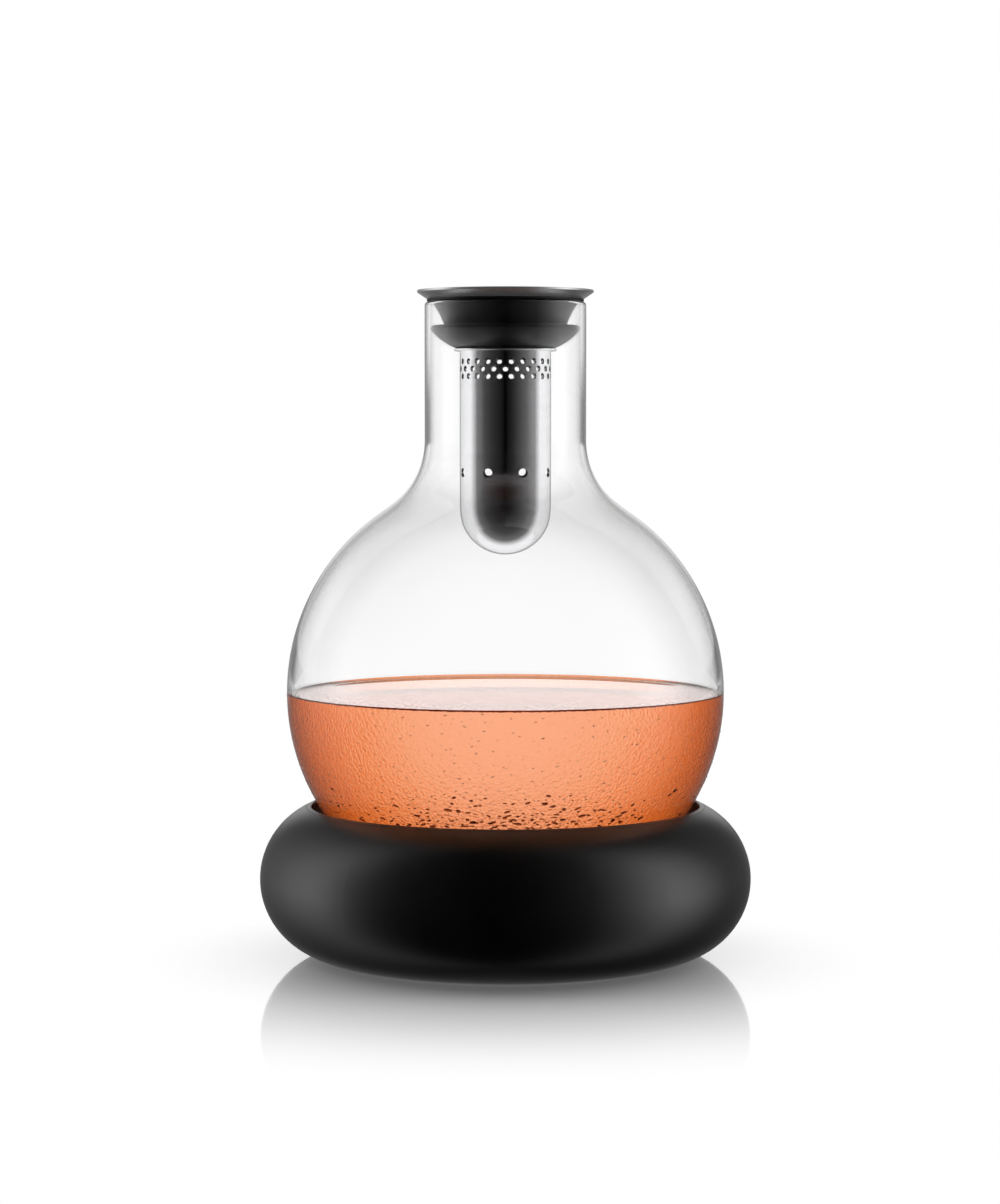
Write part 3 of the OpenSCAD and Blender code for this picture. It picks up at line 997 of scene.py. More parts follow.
class Look(Enum):
    """Every finish of the part."""

    GLASS = ClearGlass("Clear blown glass")
    WET_WALL = WettedWall("Wetted glass")
    DRINK = Liquid("Rose drink", (1.0, 0.43, 0.24), DRINK_PAINTED_EDGE_SHADE, WATER_IOR / GLASS_IOR, 0.0, 0.36, 1.0)
    DRINK_TOP = Liquid("Rose drink surface", (1.0, 0.6, 0.45), DRINK_TOP_PAINTED_EDGE_SHADE)
    WATER = Liquid("Condensed water", (1.0, 1.0, 1.0), WATER_PAINTED_EDGE_SHADE)
    # Painted refraction: clear drops coloured dark brown, standing for the dark base seen through them
    DROPS_PAINTED_DARK = Liquid("Water over the dark rim", (0.45, 0.24, 0.12), DARK_DROP_PAINTED_EDGE_SHADE)
    GEL = Liquid("Cooling gel", (0.55, 0.75, 0.95), GEL_PAINTED_EDGE_SHADE, 1.34, 0.15)
    LIP_STEEL = Steel("Brushed lip steel", (0.75, 0.75, 0.76), (0.2, 0.3), metallic=0.81)
    TUBE_STEEL = Steel("Polished tube steel", (0.62, 0.62, 0.63), (0.05, 0.07), 0.3, 0.00001, 0.96)
    ZINC = Steel("Zinc plated steel", (0.55, 0.56, 0.58), (0.3, 0.45), 0.2, 0.002)
    SEAL = Moulded("Black silicone", (0.006, 0.006, 0.006), 0.25, (0.3, 0.38), 0.15, 0.0008, specular=0.25)
    GREY_SEAL = Moulded("Grey silicone", (0.09, 0.09, 0.095), 0.2, (0.45, 0.6), 0.25, 0.008)
    CORE = Moulded("Black moulded plastic", (0.02, 0.02, 0.021), 0.3, (0.3, 0.42), 0.35, 0.012)
    SOFT_TOUCH = Moulded(
        "Soft touch black", (0.0012, 0.0012, 0.0012), 0.2, (0.27, 0.33), 0.12, 0.001, 30.0, 0.9
    )
    FOAM = Moulded("Closed cell foam", (0.72, 0.72, 0.68), 0.1, (0.8, 0.95), 1.2, 0.25)
    PACK = Moulded("Freezer pack plastic", (0.03, 0.032, 0.036), 0.3, (0.3, 0.45), 0.5, 0.02)
    COLD_DISH = Moulded("Frosted cold dish", (0.3, 0.33, 0.36), 0.3, (0.3, 0.45), 0.5, 0.02)


Finishes = Mapping[Look, bpy.types.Material]


# Pieces


def dress(piece: Piece, *materials: bpy.types.Material) -> None:
    """Gives a piece its materials, in the order of its slots.

    Args:
        piece: The piece.
        *materials: Its materials.
    """
    piece.data.materials.clear()
    for material in materials:
        piece.data.materials.append(material)


def stand_for(piece: Piece, body: Body, slot: str, *nodes: str) -> None:
    """Makes a piece ride on its body in place of the named nodes.

    Args:
        piece: The piece.
        body: The body that it rides on.
        slot: The record's material slot; not used.
        *nodes: The nodes that it replaces.
    """
    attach(piece, body.value)
    if nodes:
        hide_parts(*nodes)
    LOG.info("%s rides on %s, %d faces", piece.name, body.value, len(piece.data.polygons))


def dress_nodes(looks: Mapping[str, Look], finishes: Finishes) -> None:
    """Gives nodes that keep their solids their materials.

    Args:
        looks: Each node's look, by its name.
        finishes: The part's materials.
    """
    for name, look in looks.items():
        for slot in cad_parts[name].material_slots:
            slot.material = finishes[look]
        LOG.info("%s keeps its solid", name)


@dataclass
class Base:
    """The ring base and its freezer pack, whose nodes all keep their solids."""

    looks: ClassVar[Mapping[str, Look]] = {
        "base_shell": Look.SOFT_TOUCH,
        "base_well": Look.SOFT_TOUCH,
        "base_insulation": Look.FOAM,
        "base_floor": Look.CORE,
        "floor_screws": Look.ZINC,
        "foot_ring": Look.GREY_SEAL,
        "pack_tray": Look.PACK,
        "pack_cover": Look.COLD_DISH,
        "pack_gel": Look.GEL,
        "pack_plug": Look.GREY_SEAL,
    }

    def build(self, finishes: Finishes) -> None:
        """Dresses the nodes of the base and the pack."""
        dress_nodes(self.looks, finishes)


@dataclass(frozen=True)
class Drops:
    """One kind of condensed drops.

    Attributes:
        look: Their look.
        density: The drops on a square metre where they are densest.
        radius: The least and the most radius, in millimetres.
        height: Where they are densest and where they end, in millimetres.
        flatness: A drop's thickness against its length.
        seed: The seed of the random draws.
        detail: The steps round a drop.
        aside: The share of them past the middle of the front and the back.
    """

    look: Look
    density: float
    radius: tuple[float, float]
    height: tuple[float, float]
    flatness: float
    seed: int
    detail: int
    aside: float

    def values(self, finishes: Finishes) -> dict[str, object]:
        """Values for the tree of drops.

        Args:
            finishes: The part's materials.

        Returns:
            The inputs' values, by name.
        """
        return {
            "Density": self.density,
            "Least Radius": self.radius[0] * MM,
            "Most Radius": self.radius[1] * MM,
            "Bottom": self.height[0] * MM,
            "Top": self.height[1] * MM,
            "Flatness": self.flatness,
            "Seed": self.seed,
            "Detail": self.detail,
            "Share Aside": self.aside,
            "Material": finishes[self.look],
        }


# The large drops wear the painted dark of the base behind them and keep mostly to the middle of the front and
# the back
DROPS = {
    "drops_large": Drops(Look.DROPS_PAINTED_DARK, 900000.0, (0.14, 0.85), (49.0, 64.0), 0.35, 7, 8, 0.12),
    "drops_fine": Drops(Look.WATER, 300000.0, (0.14, 0.4), (30.0, 125.0), 0.5, 11, 6, 1.0),
}


@dataclass
class Carafe:
    """The glass, the drink in it and the drops on it."""

    foot_z: float = 26.43
    foot_r: float = 38.0
    foot_floor: float = 3.5
    foot_bend: float = 9.0
    foot_round: float = 1.6
    punt_round: float = 1.0
    bowl_r: float = 73.0
    bowl_z: float = 88.73
    neck_r: float = 26.9
    shoulder_r: float = 26.5
    rim_z: float = 218.7
    wall: float = 1.8
    punt_r: float = 29.0
    punt_h: float = 1.2
    drink_z: float = 88.1
    meniscus_h: float = 0.9
    meniscus_width: float = 1.3
    meniscus_reach: float = 14.0
    meniscus_steps: int = 28
    wet_gap: float = 0.05
    drops_z: float = 50.5
    drops_gap: float = 0.02
    segments: int = 256
    inner: list[Point] = field(default_factory=list)

    @property
    def shoulder(self) -> Point:
        """Centre of the shoulder's hollow curve."""
        across = self.neck_r + self.shoulder_r
        return (across, self.bowl_z + math.sqrt((self.bowl_r + self.shoulder_r) ** 2 - across**2))

    @property
    def wet_z(self) -> float:
        """Height up to which the drink climbs the glass."""
        return self.drink_z + self.meniscus_h

    def bowl_angle(self, height: float, radius: float) -> float:
        """Direction from the bowl's centre to its skin at a height, in degrees."""
        return math.degrees(math.asin((height - self.bowl_z) / radius))

    def skin(self, inset: float, low: float) -> list[Point]:
        """The glass's outside, or its inside where inset is the wall, from a height up to the neck.

        Args:
            inset: How far the skin lies within the outer one.
            low: The height where it starts.

        Returns:
            The skin's half section.
        """
        centre, radius = (0.0, self.bowl_z), self.bowl_r - inset
        top = angle_to(centre, self.shoulder)
        start, level = self.bowl_angle(low, radius), self.bowl_angle(self.wet_z, radius)
        bowl = arc(centre, radius, start, level, 1.3) + arc(centre, radius, level, top, 1.3)[1:]
        hollow = arc(self.shoulder, self.shoulder_r + inset, top + 180, 180, 2.0)
        return eased(bowl + hollow[1:], len(bowl) - 1)

    def build_glass(self, finishes: Finishes) -> None:
        """Makes the glass, with its wetted inside as a second slot.

        Args:
            finishes: The part's materials.
        """
        punt_curve = (self.punt_r**2 + self.punt_h**2) / (2 * self.punt_h)
        punt_centre = (0.0, self.foot_z + self.punt_h - punt_curve)
        side = angle_to(punt_centre, (self.punt_r, self.foot_z))
        floor = self.foot_z + self.foot_floor
        outer = arc(punt_centre, punt_curve, 90, side, 0.5)
        outer[0] = (0.0, outer[0][1])
        outer += self.skin(0, self.foot_z)
        rim = arc((self.neck_r - self.wall / 2, self.rim_z - self.wall / 2), self.wall / 2, 0, 180, 15)
        inner = self.skin(self.wall, floor)
        corner = inner[0]
        self.inner = soften([(0.0, floor), (corner[0] - 20, floor), *inner], {corner: self.foot_bend}, 14)
        path = outer + rim + self.inner[::-1]
        rounded = {(self.punt_r, self.foot_z): self.punt_round, (self.foot_r, self.foot_z): self.foot_round}
        glass = lathe("glass_body", soften(path, rounded), self.segments)
        dress(glass, finishes[Look.GLASS], finishes[Look.WET_WALL])
        for face in glass.data.polygons:
            inside = face.center.to_2d().dot(face.normal.to_2d()) < 0 or face.normal.z > 0.5
            if inside and (self.foot_z + self.punt_h + 0.5) * MM < face.center.z < self.wet_z * MM:
                face.material_index = 1
        stand_for(glass, Body.CARAFE, "glass", "carafe_glass")

    def build_drink(self, finishes: Finishes) -> None:
        """Makes the drink, with its edge drawn up the glass and its surface as a second slot.

        Args:
            finishes: The part's materials.
        """
        wet = shifted([p for p in self.inner if p[1] < self.wet_z + 0.01], self.wet_gap)
        top = []
        for step in range(1, self.meniscus_steps + 1):
            back = self.meniscus_reach * (step / self.meniscus_steps) ** 2
            climb = self.meniscus_h * math.exp(-back / self.meniscus_width)
            top.append((wet[-1][0] - back, self.drink_z + climb))
        path = [(0.0, wet[0][1]), *wet[1:], *top, (0.0, self.drink_z)]
        drink = lathe("drink_body", path, self.segments)
        dress(drink, finishes[Look.DRINK], finishes[Look.DRINK_TOP])
        for face in drink.data.polygons:
            if face.normal.z > 0.2 and face.center.z > (self.drink_z - 0.5) * MM:
                face.material_index = 1
        stand_for(drink, Body.CARAFE, "drink", "drink")

    def build_drops(self, finishes: Finishes) -> None:
        """Sets the condensed drops on the cold part of the glass.

        Args:
            finishes: The part's materials.
        """
        tree = drop_tree()
        radius = self.bowl_r + self.drops_gap
        band = arc((0.0, self.bowl_z), radius, self.bowl_angle(self.drops_z, radius), 0.0, 2.0)
        for name, kind in DROPS.items():
            drops = tree.grow(lathe(f"{name}_skin", band, 96), name, kind.values(finishes))
            stand_for(drops, Body.CARAFE, "glass")

    def build(self, finishes: Finishes) -> None:
        """Makes all of the carafe.

        Args:
            finishes: The part's materials.
        """
        self.build_glass(finishes)
        self.build_drink(finishes)
        self.build_drops(finishes)


@dataclass
class Stopper:
    """The pouring lip and the seal with its collar, waist and skirt."""

    lip_r: float = 29.4
    lip_t: float = 0.7
    lip_seat: float = 219.7
    collar_r: float = 26.15
    collar_z: float = 218.9
    bend_r: float = 2.0
    funnel_deg: float = 10.0
    flare_deg: float = 34.0
    spigot_r: float = 17.8
    spigot_z: float = 213.0
    stopper_z: float = 203.4
    skirt_r: float = 25.0
    skirt_top: float = 210.9
    skirt_tip: float = 1.3
    skirt_curve: float = 20.5
    waist_r: float = 20.35
    waist_top_r: float = 24.7
    waist_curve: float = 24.8
    core_r: float = 18.9
    core_low_r: float = 16.0
    core_shoulder: float = 209.0
    low_wall: float = 0.5
    gap: float = 0.05
    lip_segments: int = 256
    looks: ClassVar[Mapping[str, Look]] = {
        "stopper_core": Look.CORE,
        "strainer_seal": Look.GREY_SEAL,
        "flap_pin": Look.TUBE_STEEL,
        "pour_flap": Look.CORE,
        "flap_gasket": Look.GREY_SEAL,
        "flap_weight": Look.TUBE_STEEL,
    }

    def lip_side(self, inset: float) -> list[Point]:
        """Underside of the lip, or its upper side where inset is its sheet, from the spigot outwards.

        Args:
            inset: How far the side lies within the underside.

        Returns:
            The side's half section.
        """
        flare, funnel = math.radians(self.flare_deg), math.radians(self.funnel_deg)
        across, up = self.bend_r * math.sin(flare), self.bend_r * math.cos(flare)
        middle = (self.collar_r - across, self.lip_seat + up)
        bend = arc(middle, self.bend_r - inset, self.funnel_deg - 90, self.flare_deg - 90, 3)
        inner_r = self.spigot_r - inset
        low = bend[0][1] - (bend[0][0] - inner_r) * math.tan(funnel)
        high = bend[-1][1] + (self.lip_r - bend[-1][0]) * math.tan(flare)
        return [(inner_r, self.spigot_z), (inner_r, low), *bend, (self.lip_r, high)]

    def build_lip(self, finishes: Finishes) -> None:
        """Makes the pouring lip with its rolled bends and rounded edges.

        Args:
            finishes: The part's materials.
        """
        under, upper = self.lip_side(0), self.lip_side(self.lip_t)
        corners = {under[1]: 0.9, upper[1]: 1.6, under[-1]: 0.28, upper[-1]: 0.28}
        corners |= {under[0]: 0.12, upper[0]: 0.12}
        start = ((under[0][0] + upper[0][0]) / 2, self.spigot_z)
        path = soften([start, *under, *upper[::-1], start], corners, 5)[:-1]
        lip = lathe("lip", path, self.lip_segments, closed=True)
        dress(lip, finishes[Look.LIP_STEEL])
        stand_for(lip, Body.STOPPER, "steel_brushed", "pour_lip")

    def build_seal(self, finishes: Finishes) -> None:
        """Makes the silicone collar, waist and sealing skirt.

        Args:
            finishes: The part's materials.
        """
        tip_z = self.skirt_top - self.skirt_tip
        root = (self.core_low_r + self.low_wall, self.stopper_z)
        under = bow(root, (self.skirt_r, tip_z), self.skirt_curve)
        tip = arc((self.skirt_r - self.skirt_tip, tip_z), self.skirt_tip, 0, 90, 10)
        waist = bow((self.waist_top_r, self.collar_z), (self.waist_r, self.skirt_top), self.waist_curve)[::-1]
        lip = self.lip_side(0)
        slope = math.tan(math.radians(self.funnel_deg))
        collar_top = (self.collar_r, self.lip_seat - self.gap)
        path = [
            (self.core_low_r, self.stopper_z),
            *under,
            *tip,
            *waist,
            (self.collar_r, self.collar_z),
            collar_top,
            *[(r, z - self.gap) for r, z in lip[:1:-1] if r < self.collar_r],
            (self.core_r, lip[2][1] - (lip[2][0] - self.core_r) * slope - self.gap),
            (self.core_r, self.core_shoulder),
            (self.core_low_r, self.core_shoulder),
        ]
        corners = {(self.collar_r, self.collar_z): 0.2, collar_top: 0.2, waist[0]: 0.5, waist[-1]: 0.3}
        seal = lathe("seal", soften(path, corners, 5), closed=True)
        dress(seal, finishes[Look.SEAL])
        stand_for(seal, Body.STOPPER, "silicone_black", "stopper_seal")

    def build(self, finishes: Finishes) -> None:
        """Makes the stopper and dresses the nodes that keep their solids.

        Args:
            finishes: The part's materials.
        """
        self.build_lip(finishes)
        self.build_seal(finishes)
        dress_nodes(self.looks, finishes)


@dataclass(frozen=True)
class Holes:
    """A band of round holes, in millimetres.

    Attributes:
        around: The holes in a row.
        rows: The number of rows.
        radius: A hole's radius.
        pitch: The height of a row.
        first: The height of the highest row's middle.
    """

    around: int
    rows: int
    radius: float
    pitch: float
    first: float

    @property
    def top(self) -> float:
        """The band's upper edge."""
        return self.first + self.pitch / 2

    @property
    def bottom(self) -> float:
        """The band's lower edge."""
        return self.top - self.rows * self.pitch


@dataclass
class Strainer:
    """The round-bottomed steel tube with its rows of holes."""

    tube_r: float = 15.2
    sheet: float = 0.6
    dome_z: float = 149.9
    bead_z: float = 202.4
    bead_r: float = 17.1
    bead_t: float = 1.0
    top_z: float = 203.4
    spigot_r: float = 13.6
    spigot_top: float = 208.2
    small_holes: Holes = Holes(24, 3, 1.0, 2.45, 198.9)
    drains: Holes = Holes(8, 1, 1.6, 5.0, 161.7)
    segments: int = 192

    def band(self, tree: GeometryTree, holes: Holes, material: bpy.types.Material) -> Piece:
        """Makes one perforated band of the tube's outer skin.

        Args:
            tree: The tree of perforations.
            holes: The band's holes, whose number in a row divides the segments.
            material: The tube's material.

        Returns:
            The band.
        """
        values = {
            "Holes Around": holes.around,
            "Rows": holes.rows,
            "Side Segments": self.segments // holes.around,
            "Row Pitch": holes.pitch * MM,
            "Hole Radius": holes.radius * MM,
            "Tube Radius": self.tube_r * MM,
            "First Row Height": holes.first * MM,
            "Stagger": 0.5,
            "Material": material,
        }
        return tree.grow(mesh_object("band_host", bpy.data.meshes.new("band_host")), "band", values)

    def build(self, finishes: Finishes) -> None:
        """Makes the tube's skin, gives it its sheet and adds the bead.

        Args:
            finishes: The part's materials.
        """
        tree = perforation_tree()
        dome = arc((0.0, self.dome_z), self.tube_r, -90, 0, 3)
        dome[0] = (0.0, dome[0][1])
        shoulder = [(self.tube_r, self.top_z), (self.spigot_r, self.top_z)]
        spigot = [(self.tube_r, self.small_holes.top), *shoulder, (self.spigot_r, self.spigot_top)]
        skins = [
            [*dome, (self.tube_r, self.drains.bottom)],
            [(self.tube_r, self.drains.top), (self.tube_r, self.small_holes.bottom)],
            soften(spigot, dict(zip(shoulder, (0.5, 0.4))), 4),
        ]
        bm = bmesh.new()
        for skin in skins:
            lathe_rings(bm, skin, self.segments, False)
        for holes in (self.small_holes, self.drains):
            absorb(bm, self.band(tree, holes, finishes[Look.TUBE_STEEL]))
        wall = finish_mesh(bm, "wall", 50)
        solid = wall.modifiers.new("Sheet", "SOLIDIFY")
        solid.thickness, solid.offset, solid.use_even_offset = self.sheet * MM, -1.0, True
        bm = bmesh.new()
        absorb(bm, baked_copy(wall, "wall_sheet"))
        roll_r = self.bead_t / 2
        roll = arc((self.bead_r - roll_r, self.bead_z + roll_r), roll_r, -90, 90, 12)
        root_r = self.tube_r - 0.1
        lathe_rings(bm, [(root_r, self.bead_z), *roll, (root_r, self.top_z)], self.segments, True)
        tube = finish_mesh(bm, "tube", 40)
        dress(tube, finishes[Look.TUBE_STEEL])
        stand_for(tube, Body.STRAINER, "steel_polished", "strainer_tube")


# Studio


def seen_plainly(tree: Shading, path: bpy.types.Node) -> Socket:
    """Tells whether a ray comes from the camera, straight or through glass, with no mirroring on its way.

    Args:
        tree: The tree of the world or of the floor.
        path: Its Light Path node.

    Returns:
        1 for such a ray and 0 for any other.
    """
    straight = tree.math("MAXIMUM", path.outputs["Is Camera Ray"], path.outputs["Is Transmission Ray"])
    return tree.times(straight, tree.math("LESS_THAN", path.outputs["Glossy Depth"], 0.5))


def through_glass(tree: Shading, path: bpy.types.Node) -> Socket:
    """Strength of the white backdrop, a little over 1 behind glass to make up for what its faces mirror away.

    Args:
        tree: The tree of the world or of the floor.
        path: Its Light Path node.

    Returns:
        The strength.
    """
    behind = tree.times(path.outputs["Is Transmission Ray"], seen_plainly(tree, path))
    return tree.between(behind, 0.0, 1.0, 1.0, GLASS_GAIN)


@dataclass(frozen=True)
class Room:
    """Surroundings, as brightness by direction.

    Attributes:
        left: The brightness on the left, from 0 in front of the object to 1 behind it.
        right: The brightness on the right.
        rise: What is left of it, from 0 straight down to 1 straight up.
    """

    left: Stops
    right: Stops
    rise: Stops

    def paint(self, tree: Shading, turn: Socket, side: Socket, rise: Socket) -> Socket:
        """Makes the surroundings' colour.

        Args:
            tree: The world's tree.
            turn: The ray's turn away from the front.
            side: 0 on the left and 1 on the right.
            rise: The ray's rise.

        Returns:
            The colour.
        """
        about = tree.mix(side, tree.ramp(turn, self.left), tree.ramp(turn, self.right))
        return tree.mix(1.0, about, tree.ramp(rise, self.rise), "MULTIPLY")


# What the pieces inside the glass mirror
LEFT_ROOM = ((0.0, 0.0), (0.035, 0.01), (0.07, 0.02), (0.18, 0.045), (0.3, 0.1), (0.42, 0.28))
RIGHT_ROOM = ((0.0, 0.0), (0.03, 0.01), (0.1, 0.03), (0.18, 0.08), (0.31, 0.2), (0.44, 0.45))
BACK_ROOM = ((0.54, 1.65), (0.64, 1.65), (0.8, 1.25), (0.89, 0.5), (1.0, 0.25))
WITHIN = Room(
    (*LEFT_ROOM, *BACK_ROOM),
    (*RIGHT_ROOM, *BACK_ROOM),
    ((0.0, 0.8), (0.42, 0.95), (0.5, 1.0), (0.62, 1.0), (0.78, 0.45), (0.92, 0.12), (1.0, 0.1)),
)

# What the lip, the base and the glass's outer skin mirror
DARK_FRONT = ((0.0, 0.0), (0.12, 0.01))
GREY_BACK = ((0.94, 0.32), (1.0, 0.42))
BARE_LEFT = ((0.3, 0.04), (0.4, 0.2), (0.53, 1.3), (0.6, 1.05), (0.73, 0.4), (0.85, 0.18))
BARE_RIGHT = ((0.25, 0.08), (0.37, 0.75), (0.47, 1.6), (0.56, 0.9), (0.67, 0.18), (0.85, 0.14))
BARE_LOW = ((0.0, 0.13), (0.2, 0.35), (0.35, 0.7), (0.46, 1.0), (0.5, 1.0))
BARE_HIGH = ((0.62, 1.0), (0.77, 0.8), (0.88, 0.42), (0.95, 0.14), (1.0, 0.1))
BARE = Room(
    (*DARK_FRONT, *BARE_LEFT, *GREY_BACK),
    (*DARK_FRONT, *BARE_RIGHT, *GREY_BACK),
    (*BARE_LOW, *BARE_HIGH),
)

# What total reflection in the glass's wall shows, in the bowl and in the neck
BOWL_WALL = (
    *((0.0, 0.0), (0.5, 0.3), (0.7, 1.0), (0.8, 1.1)),
    *((0.86, 0.85), (0.9, 0.74), (0.935, 0.48), (1.0, 0.4)),
)
NECK_WALL = (
    *((0.0, 0.0), (0.38, 0.05), (0.42, 1.0), (0.55, 0.9), (0.72, 0.5), (0.8, 0.42)),
    *((0.837, 0.31), (0.866, 0.24), (0.9, 0.33), (0.94, 0.4), (1.0, 0.4)),
)
NECK_RISE = ((0.466, 0.0), (0.476, 1.0), (0.503, 1.0), (0.513, 0.0))
WALL_RISE = ((0.66, 1.0), (0.78, 0.08))

# The bright band over the horizon behind the object
BAND_RISE = ((0.515, 0.0), (0.53, 1.0), (0.6, 1.0), (0.68, 0.0))
BARE_BAND_TURN = ((0.89, 0.0), (0.93, 1.0))
WITHIN_BAND_TURN = ((0.8, 0.0), (0.87, 1.0))
WITHIN_BAND = (1.6, 1.4, 1.34, 1.0)
DIFFUSE_ROOM = (0.6, 0.6, 0.6, 1.0)


@dataclass(frozen=True)
class PaleFloor(Finish):
    """Pale floor that turns into the white backdrop and mirrors the object close to it.

    Attributes:
        mirror_fade: The distances from the middle where the mirror image starts to fade and ends, in metres.
        mirror_share: The share of the mirror image before it fades.
        white: The floor's grey as light bounces off it, and as it is seen.
        lift: What the seen floor glows by itself.
        backdrop_fade: The distances where the backdrop starts and where it has taken over, in metres.
    """

    mirror_fade: tuple[float, float] = (0.05, 0.215)
    mirror_share: float = 0.62
    white: tuple[float, float] = (0.3, 0.95)
    lift: float = 0.16
    backdrop_fade: tuple[float, float] = (0.075, 0.124)

    def surface(self, tree: Shading) -> Socket:
        """Makes the surface.

        Args:
            tree: The material's tree.

        Returns:
            The surface's shader.
        """
        far = tree.node("VectorMath", {0: tree.on_object()}, operation="LENGTH").outputs["Value"]
        near = tree.between(far, *self.mirror_fade, self.mirror_share, 0.0, "SMOOTHERSTEP")
        path = tree.node("LightPath")
        seen = seen_plainly(tree, path)
        matt = tree.node("BsdfDiffuse", {"Color": tree.between(seen, 0.0, 1.0, *self.white)})
        glow = tree.node("Emission", {"Strength": tree.times(seen, self.lift)})
        close = tree.node("AddShader", {0: matt.outputs[0], 1: glow.outputs[0]}).outputs[0]
        away = tree.times(tree.between(far, *self.backdrop_fade, curve="SMOOTHSTEP"), seen)
        backdrop = tree.node("Emission", {"Strength": through_glass(tree, path)}).outputs[0]
        mirror = tree.node("BsdfGlossy", {"Color": WHITE, "Roughness": 0.05}).outputs[0]
        lit = tree.blend(near, tree.blend(away, close, backdrop), mirror)
        mirrored = tree.math("GREATER_THAN", path.outputs["Glossy Depth"], 0.5)
        return tree.blend(mirrored, lit, tree.node("BsdfTransparent").outputs[0])


@dataclass(frozen=True)
class GlowCard(Finish):
    """One-sided glow, painted as the room is seen from the middle of the tube's round end.

    Attributes:
        share: What the card keeps of the room's brightness.
        eye_z: The height that the room is seen from, in millimetres.
    """

    share: float = 0.95
    eye_z: float = 145.0

    def surface(self, tree: Shading) -> Socket:
        """Makes the surface.

        Args:
            tree: The material's tree.

        Returns:
            The surface's shader.
        """
        spot = tree.node("VectorMath", {0: tree.on_object(), 1: (0.0, 0.0, -self.eye_z * MM)}).outputs[0]
        way = tree.node("VectorMath", {0: spot}, operation="NORMALIZE").outputs[0]
        front = tree.times(tree.split(way)[1], -1.0)
        turn = tree.over(tree.math("ARCCOSINE", front), math.pi)
        glow = tree.node("Emission", {"Color": tree.ramp(turn, WITHIN.left), "Strength": self.share})
        under = tree.node("NewGeometry").outputs["Backfacing"]
        return tree.blend(under, glow.outputs[0], tree.node("BsdfTransparent").outputs[0])


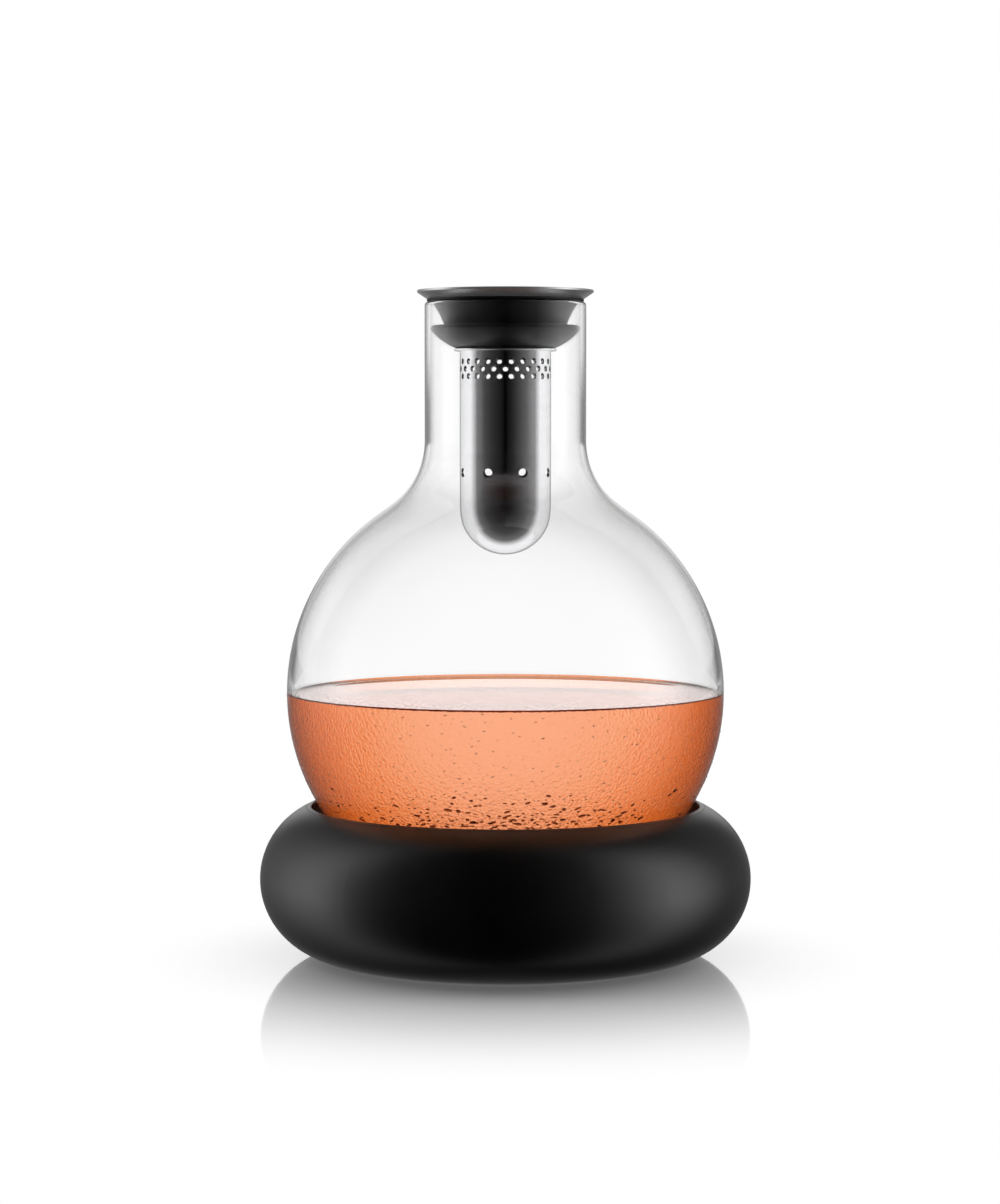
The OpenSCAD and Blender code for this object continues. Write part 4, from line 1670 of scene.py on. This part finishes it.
@dataclass
class Studio:
    """The camera, the lights, the surroundings, the floor and the card, with its sizes in metres."""

    distance: float = 1.03
    height: float = 0.1778
    aside: float = -0.0018
    pixels_per_mm: float = 3.0
    horizon_px: float = 425.0
    image_h: int = 1204
    softbox_x: float = 1.0
    softbox_y: float = 0.24
    softbox_z: float = 0.6
    softbox_size: Point = (1.1, 1.15)
    softbox_glow: float = 1.7
    aim_z: float = 0.1
    seam: float = 0.02
    floor_r: float = 1.6
    card_r: float = 0.0708
    card_z: float = 0.0896

    def build_camera(self) -> None:
        """Places the camera as the photograph was taken."""
        reach = self.distance / MM * self.pixels_per_mm
        pitch = math.atan((self.image_h / 2 - self.horizon_px) / reach)
        data = bpy.data.cameras.new("camera")
        data.sensor_fit = "AUTO"
        data.sensor_width = 36.0
        data.lens = reach * math.cos(pitch) * data.sensor_width / self.image_h
        data.clip_end = 50.0
        camera = bpy.data.objects.new("camera", data)
        camera.location = (self.aside, -self.distance, self.height)
        camera.rotation_euler = (math.pi / 2 - pitch, 0.0, 0.0)
        bpy.context.scene.collection.objects.link(camera)
        bpy.context.scene.camera = camera

    def softbox(self, name: str, side: float) -> None:
        """Hangs a softbox that faces the object, as bright as white where its glow is 1.

        Args:
            name: The light's name.
            side: -1 on the left and 1 on the right.
        """
        place = (side * self.softbox_x, self.softbox_y, self.softbox_z)
        data = bpy.data.lights.new(name, "AREA")
        width, height = self.softbox_size
        data.shape, data.size, data.size_y = "RECTANGLE", width, height
        data.energy = self.softbox_glow * math.pi * width * height
        lamp = bpy.data.objects.new(name, data)
        lamp.visible_glossy = lamp.visible_transmission = False
        lamp.location = place
        lamp.rotation_euler = (Vector((0, 0, self.aim_z)) - Vector(place)).to_track_quat("-Z", "Y").to_euler()
        bpy.context.scene.collection.objects.link(lamp)

    def build_world(self) -> None:
        """Makes the surroundings: white where they are looked at, a room where they light and reflect."""
        world = bpy.data.worlds.new("studio")
        world.use_nodes = True
        world.node_tree.nodes.clear()
        tree = Shading(world.node_tree)
        x, y, z = tree.split(tree.node("TexCoord").outputs["Generated"])
        front = tree.times(y, -1.0)
        turn = tree.over(tree.math("ARCTAN2", tree.math("ABSOLUTE", x), front), math.pi)
        full_turn = tree.over(tree.math("ARCCOSINE", front), math.pi)
        side = tree.between(x, -self.seam, self.seam)
        rise = tree.between(z, -1.0, 1.0)
        band = tree.ramp(rise, BAND_RISE)
        behind = tree.times(band, tree.ramp(turn, BARE_BAND_TURN))
        bare = tree.mix(behind, BARE.paint(tree, turn, side, rise), WHITE)
        around = tree.times(band, tree.ramp(turn, WITHIN_BAND_TURN))
        within = tree.mix(around, WITHIN.paint(tree, full_turn, side, rise), WITHIN_BAND)
        wall = tree.mix(tree.ramp(rise, NECK_RISE), tree.ramp(turn, BOWL_WALL), tree.ramp(turn, NECK_WALL))
        wall = tree.mix(1.0, wall, tree.ramp(rise, WALL_RISE), "MULTIPLY")
        path = tree.node("LightPath")
        depth = path.outputs["Transmission Depth"]
        room = tree.mix(tree.math("GREATER_THAN", depth, 0.5), bare, wall)
        room = tree.mix(tree.math("GREATER_THAN", depth, 3.5), room, within)
        room = tree.mix(path.outputs["Is Diffuse Ray"], room, DIFFUSE_ROOM)
        colour = tree.mix(seen_plainly(tree, path), room, WHITE)
        glow = tree.node("Background", {"Color": colour, "Strength": through_glass(tree, path)})
        tree.node("OutputWorld", {"Surface": glow.outputs[0]})
        bpy.context.scene.world = world

    def disc(self, name: str, radius: float, height: float, segments: int, finish: Finish) -> Piece:
        """Lays a flat disc that belongs to the stage.

        Args:
            name: The disc's name.
            radius: Its radius.
            height: Its height.
            segments: The steps round it.
            finish: Its finish.

        Returns:
            The disc.
        """
        bm = bmesh.new()
        lifted = Matrix.Translation((0, 0, height))
        bmesh.ops.create_circle(bm, cap_ends=True, segments=segments, radius=radius, matrix=lifted)
        made = mesh_object(name, taken(bm, name))
        dress(made, finish.build())
        return made

    def build(self) -> None:
        """Makes the whole studio."""
        self.build_camera()
        self.softbox("softbox_left", -1.0)
        self.softbox("softbox_right", 1.0)
        self.build_world()
        floor = self.disc("floor", self.floor_r, 0.0, 96, PaleFloor("Pale floor"))
        floor.visible_glossy = False
        # Only gloss sees the card, which stands for the bright room that the tube's round end mirrors
        card = self.disc("glow_card", self.card_r, self.card_z, 64, GlowCard("Glow card"))
        card.visible_camera = card.visible_transmission = card.visible_diffuse = card.visible_shadow = False
        bpy.context.scene.view_settings.view_transform = "Standard"


def main() -> None:
    """Builds the studio and every piece in order."""
    Studio().build()
    finishes = {look: look.value.build() for look in Look}
    Base().build(finishes)
    Carafe().build(finishes)
    Stopper().build(finishes)
    Strainer().build(finishes)


if __name__ == "__main__":
    main()
